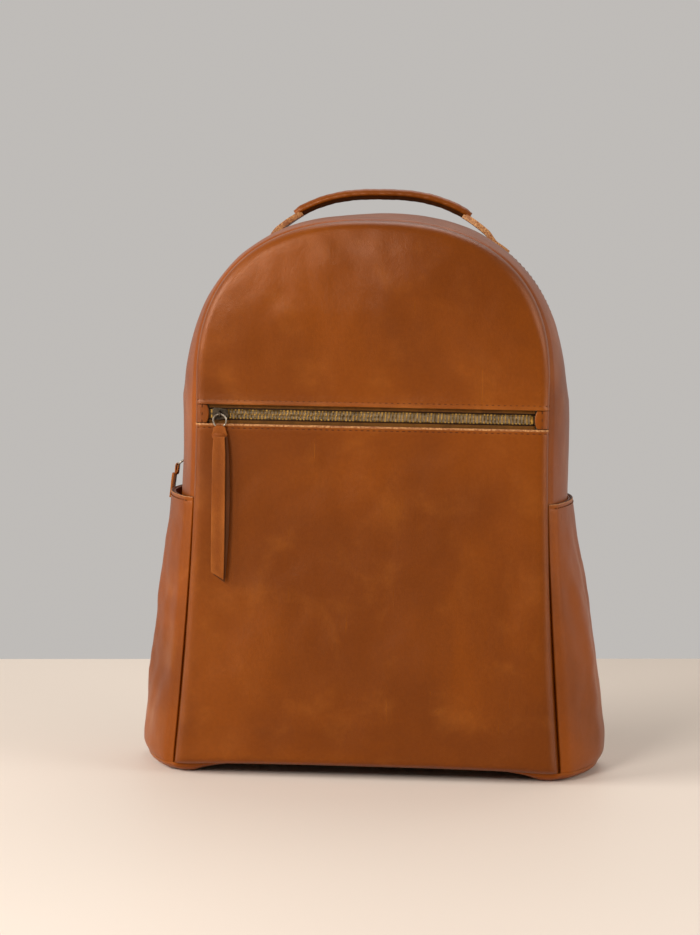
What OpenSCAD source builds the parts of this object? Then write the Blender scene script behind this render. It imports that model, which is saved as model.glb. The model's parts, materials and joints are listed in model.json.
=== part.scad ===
// Tan leather backpack: arched body with a fold-open front, a front zip pocket with a long leather pull,
// two side pockets, a rolled grab handle and padded shoulder straps.
// Millimetres. The origin is the middle of the underside, +Z is up and the front faces -Y.

/* [Body] */
// Width of the front panel at the base seam
base_w = 274; // [240:1:320]
// Width of the front panel above the taper
waist_w = 248; // [220:1:280]
// Height at which the taper of the sides ends
taper_z = 246; // [200:1:260]
// Height at which the arch of the top begins
arch_z = 287; // [280:1:310]
// Height of the front seam at the top of the arch
arch_top_z = 393; // [370:1:430]
// Squareness of the arch (2 is an ellipse)
arch_power = 2.45; // [2:0.05:3]
// Depth between the front seam and the back seam
depth = 130; // [115:1:170]
// Swell of the gusset at the sides
side_bulge = 16; // [10:0.5:22]
// Swell of the gusset at the top
top_bulge = 7; // [4:0.5:10]
// Height at which the side swell begins to fade
bulge_z = 268; // [255:1:285]
// How far the front panel stands out from its seam
front_crown = 6; // [4:0.5:9]
// Width of the rolled edge of the front panel
edge_roll = 10; // [6:0.5:14]
// Height of the base seam above the floor
base_seam_z = 8; // [6:0.5:14]
// How far the base turns in below its seam
base_turn = 10; // [6:0.5:12]

/* [Layers] */
// Thickness of the leather
leather_t = 2; // [1.4:0.1:2.6]
// Thickness of the cotton lining
lining_t = 0.8; // [0.5:0.1:1.2]
// Thickness of the foam in the back panel
foam_t = 8; // [4:0.5:12]
// Thickness of the board in the base
board_t = 3; // [2:0.5:5]
// Space between layers that lie on each other
layer_gap = 0.3; // [0.2:0.05:0.5]

/* [Side pockets] */
// Height of the pocket hem at the front seam
pocket_z = 197; // [180:1:198]
// Rise of the pocket hem towards the back
pocket_rise = 2; // [0:0.5:4]
// Gape of the pocket mouth
pocket_lip = 6; // [3:0.5:7]
// Fullness of the pocket at its belly
pocket_belly = 16; // [8:0.5:20]
// How far the gusset draws in behind the pocket
pocket_tuck = 4; // [0:0.5:6]

/* [Front zip] */
// Height of the zip chain
zip_z = 256.5; // [254:0.5:270]
// Length of the zip window
window_w = 228; // [160:1:232]
// Height of the zip window
window_h = 13.5; // [12:0.5:18]
// Pitch of the front zip teeth
front_pitch = 2.45; // [2:0.05:4]
// Depth of the pocket bag below the fold
pocket_bag_drop = 110; // [60:1:150]
// Depth of the pocket bag from front to back
pocket_bag_t = 9; // [6:0.5:12]

/* [Main zip] */
// Place of the main zip from front to back
main_zip_y = 23; // [10:1:28]
// Height of the lower ends of the main zip
zip_end_z = 196; // [194:0.5:197]
// Height of the line on which the front folds
fold_z = 230; // [229:0.5:234]
// Pitch of the main zip teeth
main_pitch = 4; // [3:0.1:6]
// Width of the zip between the leather edges
zip_gap = 16; // [15:0.5:20]
// Height at which the main slider rests
main_slider_z = 219; // [218.5:0.5:220]

/* [Zip parts] */
// Width of each woven tape
tape_w = 12; // [9:0.5:14]
// Thickness of the woven tape
tape_t = 0.6; // [0.4:0.1:0.8]
// Length of a tooth across the chain
tooth_l = 2.2; // [1.6:0.1:2.6]
// Thickness of a tooth
tooth_t = 2.2; // [1.8:0.1:2.6]
// Space between the two rows of teeth
chain_gap = 1.6; // [1.4:0.1:2]
// Length of the slider
slider_l = 11; // [9:0.5:11.5]
// Width of the slider
slider_w = 8.4; // [8:0.1:9]
// Thickness of the slider's plates
slider_plate = 1.2; // [1:0.1:1.6]
// Running clearance of the slider, ring and pull
run_gap = 0.35; // [0.3:0.05:0.45]

/* [Pulls] */
// Wire thickness of the pull ring
ring_wire = 1.2; // [1:0.1:1.4]
// Outer diameter of the pull ring
ring_d = 10.4; // [9.5:0.1:12]
// Length of the front leather pull below its ring
pull_l = 108; // [60:1:120]
// Width of the front leather pull
pull_w = 9.4; // [7:0.1:12]
// Thickness of the doubled pull
pull_t = 3.4; // [3.2:0.1:4]
// Length of the main zip's leather pull
main_pull_l = 26; // [20:1:34]

/* [Handle] */
// Distance between the ends of the handle
handle_span = 154; // [130:1:170]
// Height of the handle above its ends
handle_rise = 27.5; // [24:0.5:50]
// Place of the handle from front to back
handle_y = 50; // [46:1:52]
// Length of the rolled grip along the arc, as an angle of the whole arc
grip_share = 0.8; // [0.6:0.05:0.85]
// Diameter of the rolled grip
grip_d = 10; // [8:0.5:14]
// Diameter of the cord core in the grip
core_d = 5; // [4:0.5:6]
// Width of the handle's strap ends
handle_w = 18; // [12:1:22]
// Thickness of the handle's strap ends
handle_t = 3.2; // [2.4:0.1:4]

/* [Shoulder straps] */
// Distance between the strap tops
strap_spread = 104; // [90:1:120]
// How far the straps splay outwards at their lower ends
strap_splay = 32; // [15:1:40]
// Width of the straps at the top
strap_w = 62; // [45:1:68]
// Width of the straps at their lower ends
strap_end_w = 40; // [34:1:48]
// Thickness of the strap padding
strap_pad_t = 9; // [5:0.5:12]
// Height of the strap tops
strap_top_z = 356; // [345:1:360]
// Height of the lower ends of the straps
strap_low_z = 132; // [115:1:160]
// How far the straps bow away from the back
strap_bow = 40; // [30:1:55]
// Width of the webbing
webbing_w = 25; // [20:1:28]
// Thickness of the webbing
webbing_t = 1.8; // [1.4:0.1:2.2]

/* [Hidden] */
$fn = 48;

leather = "#9a5420";
cotton = "#8a7a66";
foam = "#c9c4b8";
weave = "#8a6a34";
brass = "#7d6540";
dark_metal = "#4a4238";

front_y = -depth / 2;
back_y = depth / 2;
face_y = front_y - front_crown;
// Two layers of a seam meet with this space between them
seam_y = front_y + leather_t + layer_gap;
rear_seam_y = back_y - layer_gap;
half_gap = layer_gap / 2;
arch_rise = arch_top_z - arch_z;
// Stations along the rim: millimetres below the arch, then degrees round it, then millimetres again
arch_steps = 20;
side_steps = 4;
// How quickly the side taper, the depth swell and the fading of the swell set in
taper_power = 1.8;
swell_power = 0.8;
fade_power = 1.5;
// The foot of the front panel rolls under over this height
foot_roll = 18;
// The gusset draws in behind the pocket over this height
tuck_h = 40;
// Knee of the base edge: its shares of the turn and of the height, and the lean of its inner face
welt_knee = 0.25;
welt_knee_rise = 0.4;
welt_slope = 0.6;
// Degrees and power of the pocket's sagging belly, fullest low down
sag_turn = 120;
sag_power = 1.25;
// How far the pocket's foot would curl in at the ground, and the height where it begins
pocket_curl = 10;
curl_h = 26;
front_cols = [-1, -0.99, -0.96, -0.92, -0.5, 0, 0.5, 0.92, 0.96, 0.99, 1];
band_cols = 5;
// Depth of the tape and of the linings below the leather's outer face
tape_inset = leather_t + layer_gap;
tape_mid = tape_inset + tape_t / 2;
lining_inset = tape_inset + tape_t + layer_gap;
// Tape edges beside the chain; a tooth stands on each edge
seat_gap = 0.05;
row_edge = chain_gap / 2 + tooth_l + seat_gap;
tooth_share = 0.55;
window_low = zip_z - window_h / 2;
window_high = zip_z + window_h / 2;
corner_z = zip_end_z - 2.5;
front_tape_y = face_y + tape_inset;
front_chain_y = face_y + tape_mid;
bag_y = front_tape_y + tape_t + layer_gap;
bag_w = window_w + 6;
throat_top = 3;
front_lining_y = bag_y + pocket_bag_t + layer_gap;
lining_edge = 1.5;
floor_z = leather_t + board_t + lining_t + 3 * layer_gap;
pad_y = back_y - layer_gap - foam_t;
pad_inset = 14;
back_lining_y = pad_y - layer_gap - lining_t;
sleeve_w = 210;
sleeve_t = 22;
sleeve_h = 240;
yoke_y = back_y + leather_t + layer_gap;
yoke_inset = 12;
yoke_drop = 30;
strap_y = yoke_y + leather_t + layer_gap;
strap_rows = 14;

// Slider, lug and pull sizes that follow from the wire and the teeth
plate_y = tooth_t / 2 + run_gap;
lug_w = 1.8;
lug_h = 4.4;
lug_reach = 4.2;
lug_eye = 2.6;
eye_y = -(plate_y + slider_plate + lug_eye);
eye_r = ring_wire / 2 + run_gap;
ring_r = (ring_d - ring_wire) / 2;
neck_w = 3.6;
neck_eye_r = ring_wire / 2 + 2 * run_gap;
neck_wall = 0.9;
neck_r = neck_eye_r + neck_wall;
knot_w = 11.4;
knot_h = 6;
tip_slant = 7;
front_slider_x = -(window_w / 2 - slider_l / 2 - 2.5);
// Stations of the chain about the arch, closer where the arch begins and ends
half_turn = 180;
curl_turn = 9;
curl_step = 0.5;
curl_count = 16;
crown_count = 64;
// The main pull rests tilted over the pocket rim
main_ring_tilt = 52;
main_pull_tilt = 6;
main_pull_w = 8;
main_pull_t = 3.2;

// Handle arc through its two ends
handle_end_x = handle_span / 2;
handle_q = acos(pow(handle_span / waist_w, arch_power / 2));
handle_lift = 6.8;
handle_end_z = gusset_point(handle_q, handle_y, 0)[2] + handle_lift;
handle_r = (pow(handle_end_x, 2) + pow(handle_rise, 2)) / (2 * handle_rise);
handle_mid_z = handle_end_z + handle_rise - handle_r;
handle_arc = 2 * asin(handle_end_x / handle_r);
grip_arc = handle_arc * grip_share;
handle_seat = 0.1;

adjuster_w = 32;
adjuster_h = 24;
adjuster_t = 4;
adjuster_bar = 4;
// Room for the adjuster's upper bar to turn under the strap's end
adjuster_gap = 0.9;
strap_low_x = strap_spread / 2 + strap_splay;
// Powers of the strap's outward and backward curves
strap_splay_power = 1.4;
strap_bow_power = 0.9;
tab_inset = 27;
tab_x = base_w / 2 - tab_inset;
tab_z = 36;
tab_w = 34;
tab_h = 26;

function clamp01(t) = max(0, min(1, t));
function signed_pow(v) = sign(v) * pow(abs(v), 2 / arch_power);
function steps(a, b, n) = [for (i = [0:n]) a + (b - a) * i / n];

// Half the width of the front panel at a height
function half_w(z) = waist_w / 2 + (base_w - waist_w) / 2 * pow(clamp01(1 - z / taper_z), taper_power);

// Point of the rim [x, z] at a station, moved outwards by off
function rim(q, off) =
  q < 0 ? [-(half_w(arch_z + q) + off), arch_z + q]
  : q > half_turn ? [half_w(arch_z + half_turn - q) + off, arch_z + half_turn - q]
  : [-(waist_w / 2 + off) * signed_pow(cos(q)), arch_z + (arch_rise + off) * signed_pow(sin(q))];

// Stations from a height on the left, over the arch, to the same height on the right
function side_stations(z0) = [for (i = [0:side_steps - 1]) (z0 - arch_z) * (1 - i / side_steps)];
function stations(z0) = concat(
  side_stations(z0),
  steps(0, half_turn, arch_steps),
  [for (i = [side_steps - 1:-1:0]) half_turn - side_stations(z0)[i]]
);
// Station at a height on the left (-1) or right (1) side
function side_station(side, z) = side < 0 ? z - arch_z : half_turn + arch_z - z;

// Swell of the gusset: by height, and from front to back
function bulge(z) = top_bulge + (side_bulge - top_bulge)
  * pow(1 - clamp01((z - bulge_z) / (arch_top_z - bulge_z)), fade_power)
  - pocket_tuck * clamp01((corner_z - z) / tuck_h);
function swell(y) = pow(max(0, sin(half_turn * (y - front_y) / depth)), swell_power);
function gusset_point(q, y, inset) =
  let (p = rim(q, bulge(rim(q, 0)[1]) * swell(y) - inset)) [p[0], y, p[1]];

// Outer face of the front panel: flat in the middle and rolled at its edges
function quarter_round(e, r) = e >= r ? 1 : sqrt(max(0, 1 - pow(1 - e / r, 2)));
function rim_share(x, z) = z <= arch_z ? abs(x) / half_w(z)
  : pow(pow(abs(x) / (waist_w / 2), arch_power) + pow((z - arch_z) / arch_rise, arch_power), 1 / arch_power);
function face_point(x, z) = [
  x,
  front_y - front_crown * quarter_round((1 - rim_share(x, z)) * half_w(z), edge_roll)
    * quarter_round(z - base_seam_z, foot_roll),
  z
];

// Fullness of a side pocket above its gusset, and the height of its hem
function hem_z(y) = pocket_z + pocket_rise * (y - front_y) / depth;
function pocket_full(z, y) = pocket_lip + (pocket_belly - pocket_lip)
  * sin(sag_turn * pow(clamp01(1 - z / hem_z(y)), sag_power))
  - pocket_curl * pow(clamp01(1 - z / curl_h), 2);
function pocket_point(side, z, y, out) =
  [side * (half_w(z) + (side_bulge + pocket_full(z, y)) * swell(y) + layer_gap + out), y, z];

// Length along a chain of points up to each of them
function run_lengths(p) = [
  for (i = 0, s = 0; i < len(p); s = s + (i + 1 < len(p) ? norm(p[i + 1] - p[i]) : 0), i = i + 1) s
];

function moved(grid, v) = [for (row = grid) [for (p = row) p + v]];

// Closed slab between two point grids of one size; a closed slab joins its last row to its first
function volume6(points, faces) =
  [for (f = faces) cross(points[f[0]], points[f[1]]) * points[f[2]]] * [for (f = faces) 1];
function quad(a, b, c, d) = [[a, b, c], [a, c, d]];
module slab(outer, inner, closed = false) {
  rows = len(outer);
  cols = len(outer[0]);
  n = rows * cols;
  last = closed ? rows - 1 : rows - 2;
  points = [for (grid = [outer, inner], row = grid, p = row) p];
  skins = [
    for (r = [0:last], c = [0:cols - 2])
      let (a = r * cols + c, d = ((r + 1) % rows) * cols + c)
      each concat(quad(a, a + 1, d + 1, d), quad(n + a, n + d, n + d + 1, n + a + 1))
  ];
  edges = [
    for (r = [0:last])
      let (a = r * cols, d = ((r + 1) % rows) * cols, e = cols - 1)
      each concat(quad(a, d, n + d, n + a), quad(a + e, n + a + e, n + d + e, d + e))
  ];
  ends = closed ? [] : [
    for (c = [0:cols - 2])
      let (z = (rows - 1) * cols + c)
      each concat(quad(c, n + c, n + c + 1, c + 1), quad(z, z + 1, n + z + 1, n + z))
  ];
  faces = concat(skins, edges, ends);
  turned = volume6(points, faces) > 0 ? [for (f = faces) [f[0], f[2], f[1]]] : faces;
  polyhedron(points = points, faces = turned);
}

// Flat plate with an [x, z] outline, from y to y + t
module plate(outline, y, t) {
  translate([0, y + t, 0]) rotate([90, 0, 0]) linear_extrude(t) polygon(outline);
}

// Outline of the whole bag from a height up, drawn in by inset
function bag_outline(z0, inset) = [for (q = stations(z0)) rim(q, -inset)];

// Curved band of the gusset between two depths
module gusset_band(qs, y0, y1, inset, t) {
  ys = steps(y0, y1, band_cols);
  slab(
    [for (q = qs) [for (y = ys) gusset_point(q, y, inset)]],
    [for (q = qs) [for (y = ys) gusset_point(q, y, inset + t)]]
  );
}
function side_qs(side, z0, z1, n) = [for (z = steps(z0, z1, n)) side_station(side, z)];

// Back of the bag
module back_panel() {
  color(leather) plate(bag_outline(base_seam_z + half_gap, 0), back_y, leather_t);
}
module back_padding() {
  color(foam) plate(bag_outline(base_seam_z + pad_inset, pad_inset), pad_y, foam_t);
}
module back_lining() {
  color(cotton) plate(bag_outline(floor_z + layer_gap, 2 * leather_t + lining_inset), back_lining_y, lining_t);
}
module laptop_sleeve() {
  y0 = back_lining_y - layer_gap - sleeve_t;
  color(cotton) difference() {
    translate([-sleeve_w / 2, y0, floor_z + layer_gap]) cube([sleeve_w, sleeve_t, sleeve_h]);
    translate([-sleeve_w / 2 + lining_t, y0 + lining_t, floor_z + layer_gap + lining_t])
      cube([sleeve_w - 2 * lining_t, sleeve_t - 2 * lining_t, sleeve_h]);
  }
}
module strap_yoke() {
  low = strap_top_z - yoke_drop;
  color(leather) intersection() {
    plate(bag_outline(base_seam_z, yoke_inset), yoke_y, leather_t);
    translate([-waist_w, yoke_y, low]) cube([2 * waist_w, leather_t, arch_top_z]);
  }
}

// Gusset behind the main zip, the sides and their linings
module rear_gusset() {
  color(leather) gusset_band(stations(corner_z + half_gap), main_zip_y + zip_gap / 2, rear_seam_y, 0, leather_t);
}
module rear_gusset_lining() {
  color(cotton) gusset_band(
    stations(corner_z + half_gap), main_zip_y + zip_gap / 2, back_lining_y - layer_gap, lining_inset, lining_t
  );
}
module side_gusset(side) {
  qs = side_qs(side, base_seam_z + half_gap, corner_z - half_gap, 7);
  color(leather) gusset_band(qs, seam_y, rear_seam_y, 0, leather_t);
}
module gusset_corner(side) {
  qs = side_qs(side, corner_z + half_gap, fold_z - half_gap, 2);
  color(leather) gusset_band(qs, seam_y, main_zip_y - zip_gap / 2, 0, leather_t);
}
module side_lining(side) {
  qs = side_qs(side, floor_z + layer_gap, corner_z - half_gap, 7);
  y0 = front_lining_y + lining_t + layer_gap;
  color(cotton) gusset_band(qs, y0, back_lining_y - layer_gap, lining_inset, lining_t);
}
module side_pocket(side) {
  shares = steps(0, 1, 9);
  ys = steps(seam_y, rear_seam_y, 8);
  foot = base_seam_z + half_gap;
  color(leather) slab(
    [for (s = shares) [for (y = ys) pocket_point(side, foot + (hem_z(y) - foot) * s, y, leather_t)]],
    [for (s = shares) [for (y = ys) pocket_point(side, foot + (hem_z(y) - foot) * s, y, 0)]]
  );
}

// Base: plan outline of the seam, drawn in by d, and the pieces that lie on it
function base_edge_x(y) = pocket_point(1, base_seam_z, y, leather_t)[0];
function base_plan(d) =
  let (
    kx = 1 - d / base_edge_x(0),
    ky = 1 - d / back_y,
    side_ys = steps(front_y, back_y, 12),
    n = len(side_ys) - 1
  )
  concat(
    [for (i = [0:n]) [kx * base_edge_x(side_ys[i]), ky * side_ys[i]]],
    [for (i = [n:-1:0]) [-kx * base_edge_x(side_ys[i]), ky * side_ys[i]]]
  );
function welt_ring(d, z) = [for (p = base_plan(d)) [p[0], p[1], z]];
function columns_of(rings) = [for (i = [0:len(rings[0]) - 1]) [for (ring = rings) ring[i]]];
module base_panel() {
  color(leather) linear_extrude(leather_t) polygon(base_plan(base_turn + half_gap));
}
module base_welt() {
  top = base_seam_z - half_gap;
  knee = base_turn * welt_knee;
  knee_z = top * welt_knee_rise;
  color(leather) slab(
    columns_of([welt_ring(base_turn - half_gap, 0), welt_ring(knee, knee_z), welt_ring(0, top)]),
    columns_of([
      welt_ring(base_turn - half_gap, leather_t),
      welt_ring(knee + leather_t, knee_z + leather_t * welt_slope),
      welt_ring(leather_t, top)
    ]),
    true
  );
}
module base_board() {
  color("#6b5a48") translate([0, 0, leather_t + layer_gap]) linear_extrude(board_t)
    polygon(base_plan(base_turn + 2 * leather_t));
}
module base_lining() {
  color(cotton) translate([0, 0, leather_t + board_t + 2 * layer_gap]) linear_extrude(lining_t)
    polygon(base_plan(base_turn + 2 * leather_t));
}

// Front panels: the part below the fold stays, the parts above it open
module front_strip(z0, z1, n) {
  outer = [for (z = steps(z0, z1, n)) [for (c = front_cols) face_point(c * half_w(z), z)]];
  color(leather) slab(outer, moved(outer, [0, leather_t, 0]));
}
module front_lower_panel() {
  front_strip(base_seam_z + half_gap, fold_z - half_gap, 10);
}
module front_middle_panel() {
  front_strip(fold_z + half_gap, window_low, 1);
}
module front_upper_panel() {
  shares = [0, 0.3, 0.6, 0.8, 0.9, 0.96, 0.99, 1];
  qs = steps(0, half_turn, arch_steps);
  outer = [
    for (s = shares) [for (q = qs) let (p = rim(q, 0)) face_point(p[0], window_high + (p[1] - window_high) * s)]
  ];
  color(leather) slab(outer, moved(outer, [0, leather_t, 0]));
}
module front_lower_lining() {
  zs = steps(floor_z + layer_gap, fold_z - half_gap, 6);
  right = [for (z = zs) [half_w(z) - lining_edge, z]];
  left = [for (i = [len(zs) - 1:-1:0]) [-right[i][0], right[i][1]]];
  color(cotton) plate(concat(right, left), front_lining_y, lining_t);
}
module flap_lining() {
  color(cotton) plate(bag_outline(fold_z + half_gap, lining_edge), front_lining_y, lining_t);
}
module front_gusset() {
  color(leather) gusset_band(stations(fold_z + half_gap), seam_y, main_zip_y - zip_gap / 2, 0, leather_t);
}
module front_gusset_lining() {
  y0 = front_lining_y + lining_t + layer_gap;
  color(cotton) gusset_band(
    stations(fold_z + half_gap), y0, main_zip_y - zip_gap / 2, lining_inset, lining_t
  );
}

// Front pocket: the bag below the fold, and the throat that carries it up to the zip
module front_pocket_bag() {
  z0 = fold_z - pocket_bag_drop;
  color(cotton) difference() {
    translate([-bag_w / 2, bag_y, z0]) cube([bag_w, pocket_bag_t, pocket_bag_drop - half_gap]);
    translate([-bag_w / 2 + lining_t, bag_y + lining_t, z0 + lining_t])
      cube([bag_w - 2 * lining_t, pocket_bag_t - 2 * lining_t, pocket_bag_drop]);
  }
}
module front_pocket_throat() {
  z0 = fold_z + half_gap;
  height = window_high + throat_top - z0;
  color(cotton) difference() {
    translate([-bag_w / 2, bag_y, z0]) cube([bag_w, pocket_bag_t, height]);
    translate([-bag_w / 2 + lining_t, bag_y - lining_t, z0 - lining_t])
      cube([bag_w - 2 * lining_t, pocket_bag_t, height]);
  }
}

// Front zip; up is 1 for the upper row and -1 for the lower one
module front_tape(up) {
  color(weave) translate([-window_w / 2, front_tape_y, zip_z + (up > 0 ? row_edge : -row_edge - tape_w)])
    cube([window_w, tape_t, tape_w]);
}
module front_teeth(up) {
  count = floor((window_w - 2 * (slider_l - 3)) / front_pitch);
  start = -count * front_pitch / 2;
  root = chain_gap / 2 + tooth_l;
  spine = root - tooth_l / 4;
  tooth = front_pitch * tooth_share;
  shift = up > 0 ? 0 : front_pitch / 2;
  teeth = [
    for (i = [0:count - 1])
      let (x = start + i * front_pitch + shift)
      each [[x, spine], [x, chain_gap / 2], [x + tooth, chain_gap / 2], [x + tooth, spine]]
  ];
  far = start + (count + 0.5) * front_pitch;
  near = start - front_pitch / 2;
  ends = [[far, spine], [far, root], [near, root], [near, spine]];
  outline = [for (p = concat(teeth, ends)) [p[0], zip_z + up * p[1]]];
  color(brass) plate(outline, front_chain_y - tooth_t / 2, tooth_t);
}
module front_zip_tab(side) {
  zs = [window_low + layer_gap, window_high - layer_gap];
  cols = [0, 0.35, 0.6, 0.8, 0.93, 1];
  outer = [
    for (z = zs) [
      for (c = cols) face_point(side * (window_w / 2 + (half_w(z) - window_w / 2) * c), z)
    ]
  ];
  color(leather) slab(outer, moved(outer, [0, leather_t, 0]));
}

// Main zip; row is -1 for the front row and 1 for the rear one
module main_tape(row, qs) {
  near = main_zip_y + row * row_edge;
  far = main_zip_y + row * (row_edge + tape_w);
  color(weave) gusset_band(qs, min(near, far), max(near, far), tape_inset, tape_t);
}
module main_teeth(row, qs) {
  path = [for (q = qs) let (p = gusset_point(q, main_zip_y, tape_mid)) [p[0], p[2]]];
  lengths = run_lengths(path);
  xs = [for (i = [0:len(path) - 1]) [lengths[i], path[i][0]]];
  zs = [for (i = [0:len(path) - 1]) [lengths[i], path[i][1]]];
  total = lengths[len(path) - 1];
  count = floor(total / main_pitch) - 1;
  y0 = main_zip_y + (row > 0 ? chain_gap / 2 : -chain_gap / 2 - tooth_l);
  half = main_pitch * tooth_share / 2;
  color(brass) for (i = [0:count - 1]) {
    s = (total - (count - 1) * main_pitch) / 2 + i * main_pitch;
    from = [lookup(s - half, xs), lookup(s - half, zs)];
    to = [lookup(s + half, xs), lookup(s + half, zs)];
    along = (to - from) / norm(to - from);
    out = [along[1], -along[0]] * tooth_t / 2;
    plate([from + out, to + out, to - out, from - out], y0, tooth_l);
  }
}
function fine_stations(z0) = concat(
  [z0 - arch_z, bulge_z - arch_z, 0],
  steps(curl_step, curl_turn, curl_count),
  steps(curl_turn + 1, half_turn - curl_turn - 1, crown_count),
  steps(half_turn - curl_turn, half_turn - curl_step, curl_count),
  [half_turn, half_turn + arch_z - bulge_z, half_turn + arch_z - z0]
);
module main_tape_front() {
  main_tape(-1, stations(fold_z + half_gap));
}
module main_teeth_front() {
  main_teeth(-1, fine_stations(fold_z + half_gap));
}
module main_tape_rear() {
  main_tape(1, stations(zip_end_z));
}
module main_teeth_rear() {
  main_teeth(1, fine_stations(zip_end_z));
}
module main_zip_feet() {
  for (side = [-1, 1]) {
    qs = side_qs(side, zip_end_z, fold_z - half_gap, 2);
    main_tape(-1, qs);
    main_teeth(-1, qs);
  }
}

// Slider about the middle of its chain: the outside is towards -Y and the pull hangs along -Z
module slider(length_x, length_z, post_x, post_z) {
  color(dark_metal) difference() {
    union() {
      for (y = [-plate_y - slider_plate, plate_y])
        translate([-length_x / 2, y, -length_z / 2]) cube([length_x, slider_plate, length_z]);
      translate([-post_x / 2, -plate_y, -post_z / 2]) cube([post_x, 2 * plate_y, post_z]);
      translate([-lug_w / 2, -plate_y - slider_plate - lug_reach, -lug_h / 2]) cube([lug_w, lug_reach, lug_h]);
    }
    translate([-lug_w, eye_y, 0]) rotate([0, 90, 0]) cylinder(r = eye_r, h = 2 * lug_w);
  }
}
// Ring that hangs from the slider's eye at the origin, turned outwards by tilt
module pull_ring(tilt) {
  color(dark_metal) rotate([-tilt, 0, 0]) translate([0, 0, -ring_r]) rotate([90, 0, 0])
    rotate_extrude() translate([ring_r, 0]) circle(d = ring_wire, $fn = 24);
}
// Leather pull that hangs from the ring's lower wire at the origin, knotted below its neck
module pull_strap(length, width, thick, tilt) {
  slope = tip_slant * width / pull_w;
  color(leather) rotate([-tilt, 0, 0]) difference() {
    union() {
      translate([-neck_w / 2, 0, 0]) rotate([0, 90, 0]) cylinder(r = neck_r, h = neck_w);
      plate([
        [-neck_w / 2, 0], [-knot_w / 2, -neck_r], [-width / 2, -neck_r - knot_h], [-width / 2, slope - length],
        [width / 4, -length], [width / 2, slope - length], [width / 2, -neck_r - knot_h],
        [knot_w / 2, -neck_r], [neck_w / 2, 0]
      ], -thick / 2, thick);
    }
    translate([-knot_w, 0, 0]) rotate([0, 90, 0]) cylinder(r = neck_eye_r, h = 2 * knot_w);
  }
}
post_w = chain_gap - 2 * run_gap;
post_l = 2;
module front_slider() {
  translate([front_slider_x, front_chain_y, zip_z]) slider(slider_l, slider_w, post_l, post_w);
}
module at_front_eye() {
  translate([front_slider_x, front_chain_y + eye_y, zip_z]) children();
}
module front_pull_ring() {
  at_front_eye() pull_ring(0);
}
module front_pull_strap() {
  at_front_eye() translate([0, 0, -2 * ring_r]) pull_strap(pull_l, pull_w, pull_t, 0);
}
chain_low_x = gusset_point(side_station(-1, zip_end_z), main_zip_y, tape_mid)[0];
chain_high_x = gusset_point(side_station(-1, bulge_z), main_zip_y, tape_mid)[0];
main_chain_x = lookup(main_slider_z, [[zip_end_z, chain_low_x], [bulge_z, chain_high_x]]);
module at_main_chain() {
  translate([main_chain_x, main_zip_y, main_slider_z]) rotate([0, 0, -90]) children();
}
module main_slider() {
  at_main_chain() slider(slider_w, slider_l, post_w, post_l);
}
module main_pull_ring() {
  at_main_chain() translate([0, eye_y, 0]) pull_ring(main_ring_tilt);
}
module main_pull_strap() {
  drop = 2 * ring_r;
  at_main_chain() translate([0, eye_y - drop * sin(main_ring_tilt), -drop * cos(main_ring_tilt)])
    pull_strap(main_pull_l, main_pull_w, main_pull_t, main_pull_tilt);
}

// Handle: an arc in the XZ plane about its own centre, between two angles from the top
module handle_arc_piece(from, to) {
  translate([0, handle_y, handle_mid_z]) rotate([90, 0, 0]) rotate([0, 0, 90 - to])
    rotate_extrude(angle = to - from, $fn = 180) translate([handle_r, 0]) children();
}
seat_angle = handle_seat / handle_r * 180 / PI;
module handle_strap() {
  color(leather) for (side = [-1, 1])
    handle_arc_piece(
      side > 0 ? grip_arc / 2 + seat_angle : -handle_arc / 2,
      side > 0 ? handle_arc / 2 : -grip_arc / 2 - seat_angle
    ) square([handle_t, handle_w], center = true);
}
module handle_grip() {
  color(leather) handle_arc_piece(-grip_arc / 2, grip_arc / 2) difference() {
    circle(d = grip_d);
    circle(d = core_d + 2 * layer_gap);
  }
}
module handle_core() {
  color(foam) handle_arc_piece(-grip_arc / 2, grip_arc / 2) circle(d = core_d);
}
module handle_tab(side) {
  reach = 7;
  q0 = side < 0 ? handle_q : half_turn - handle_q;
  color(leather) gusset_band(
    steps(q0 - reach, q0 + reach, 3), handle_y - handle_w / 2, handle_y + handle_w / 2,
    -leather_t - layer_gap, leather_t
  );
}

// Shoulder straps: rows down the strap and columns across it
function strap_x(s) = strap_spread / 2 + strap_splay * pow(s, strap_splay_power);
function strap_row_z(s) = strap_top_z + (strap_low_z - strap_top_z) * s;
function strap_row_y(s) = strap_y + strap_bow * pow(sin(half_turn * pow(s, strap_bow_power)), strap_bow_power);
function strap_row(side, s, out) =
  let (w = strap_w + (strap_end_w - strap_w) * s)
  [for (c = steps(-0.5, 0.5, 4)) [side * (strap_x(s) + c * w), strap_row_y(s) + out, strap_row_z(s)]];
module strap_layer(side, y0, t) {
  shares = steps(0, 1, strap_rows);
  slab([for (s = shares) strap_row(side, s, y0)], [for (s = shares) strap_row(side, s, y0 + t)]);
}
module strap_pad(side) {
  color(foam) strap_layer(side, 0, strap_pad_t);
}
module strap(side) {
  color(leather) strap_layer(side, strap_pad_t + layer_gap, leather_t);
}
adjuster_y = strap_y + strap_pad_t / 2 - adjuster_t / 2;
adjuster_z = strap_low_z - adjuster_gap - adjuster_h;
module adjuster(side) {
  slot_h = (adjuster_h - 3 * adjuster_bar) / 2;
  color(dark_metal) translate([side * strap_low_x - adjuster_w / 2, adjuster_y, adjuster_z]) difference() {
    cube([adjuster_w, adjuster_t, adjuster_h]);
    for (i = [0, 1])
      translate([(adjuster_w - webbing_w) / 2, -1, adjuster_bar + i * (slot_h + adjuster_bar)])
        cube([webbing_w, adjuster_t + 2, slot_h]);
  }
}
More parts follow.
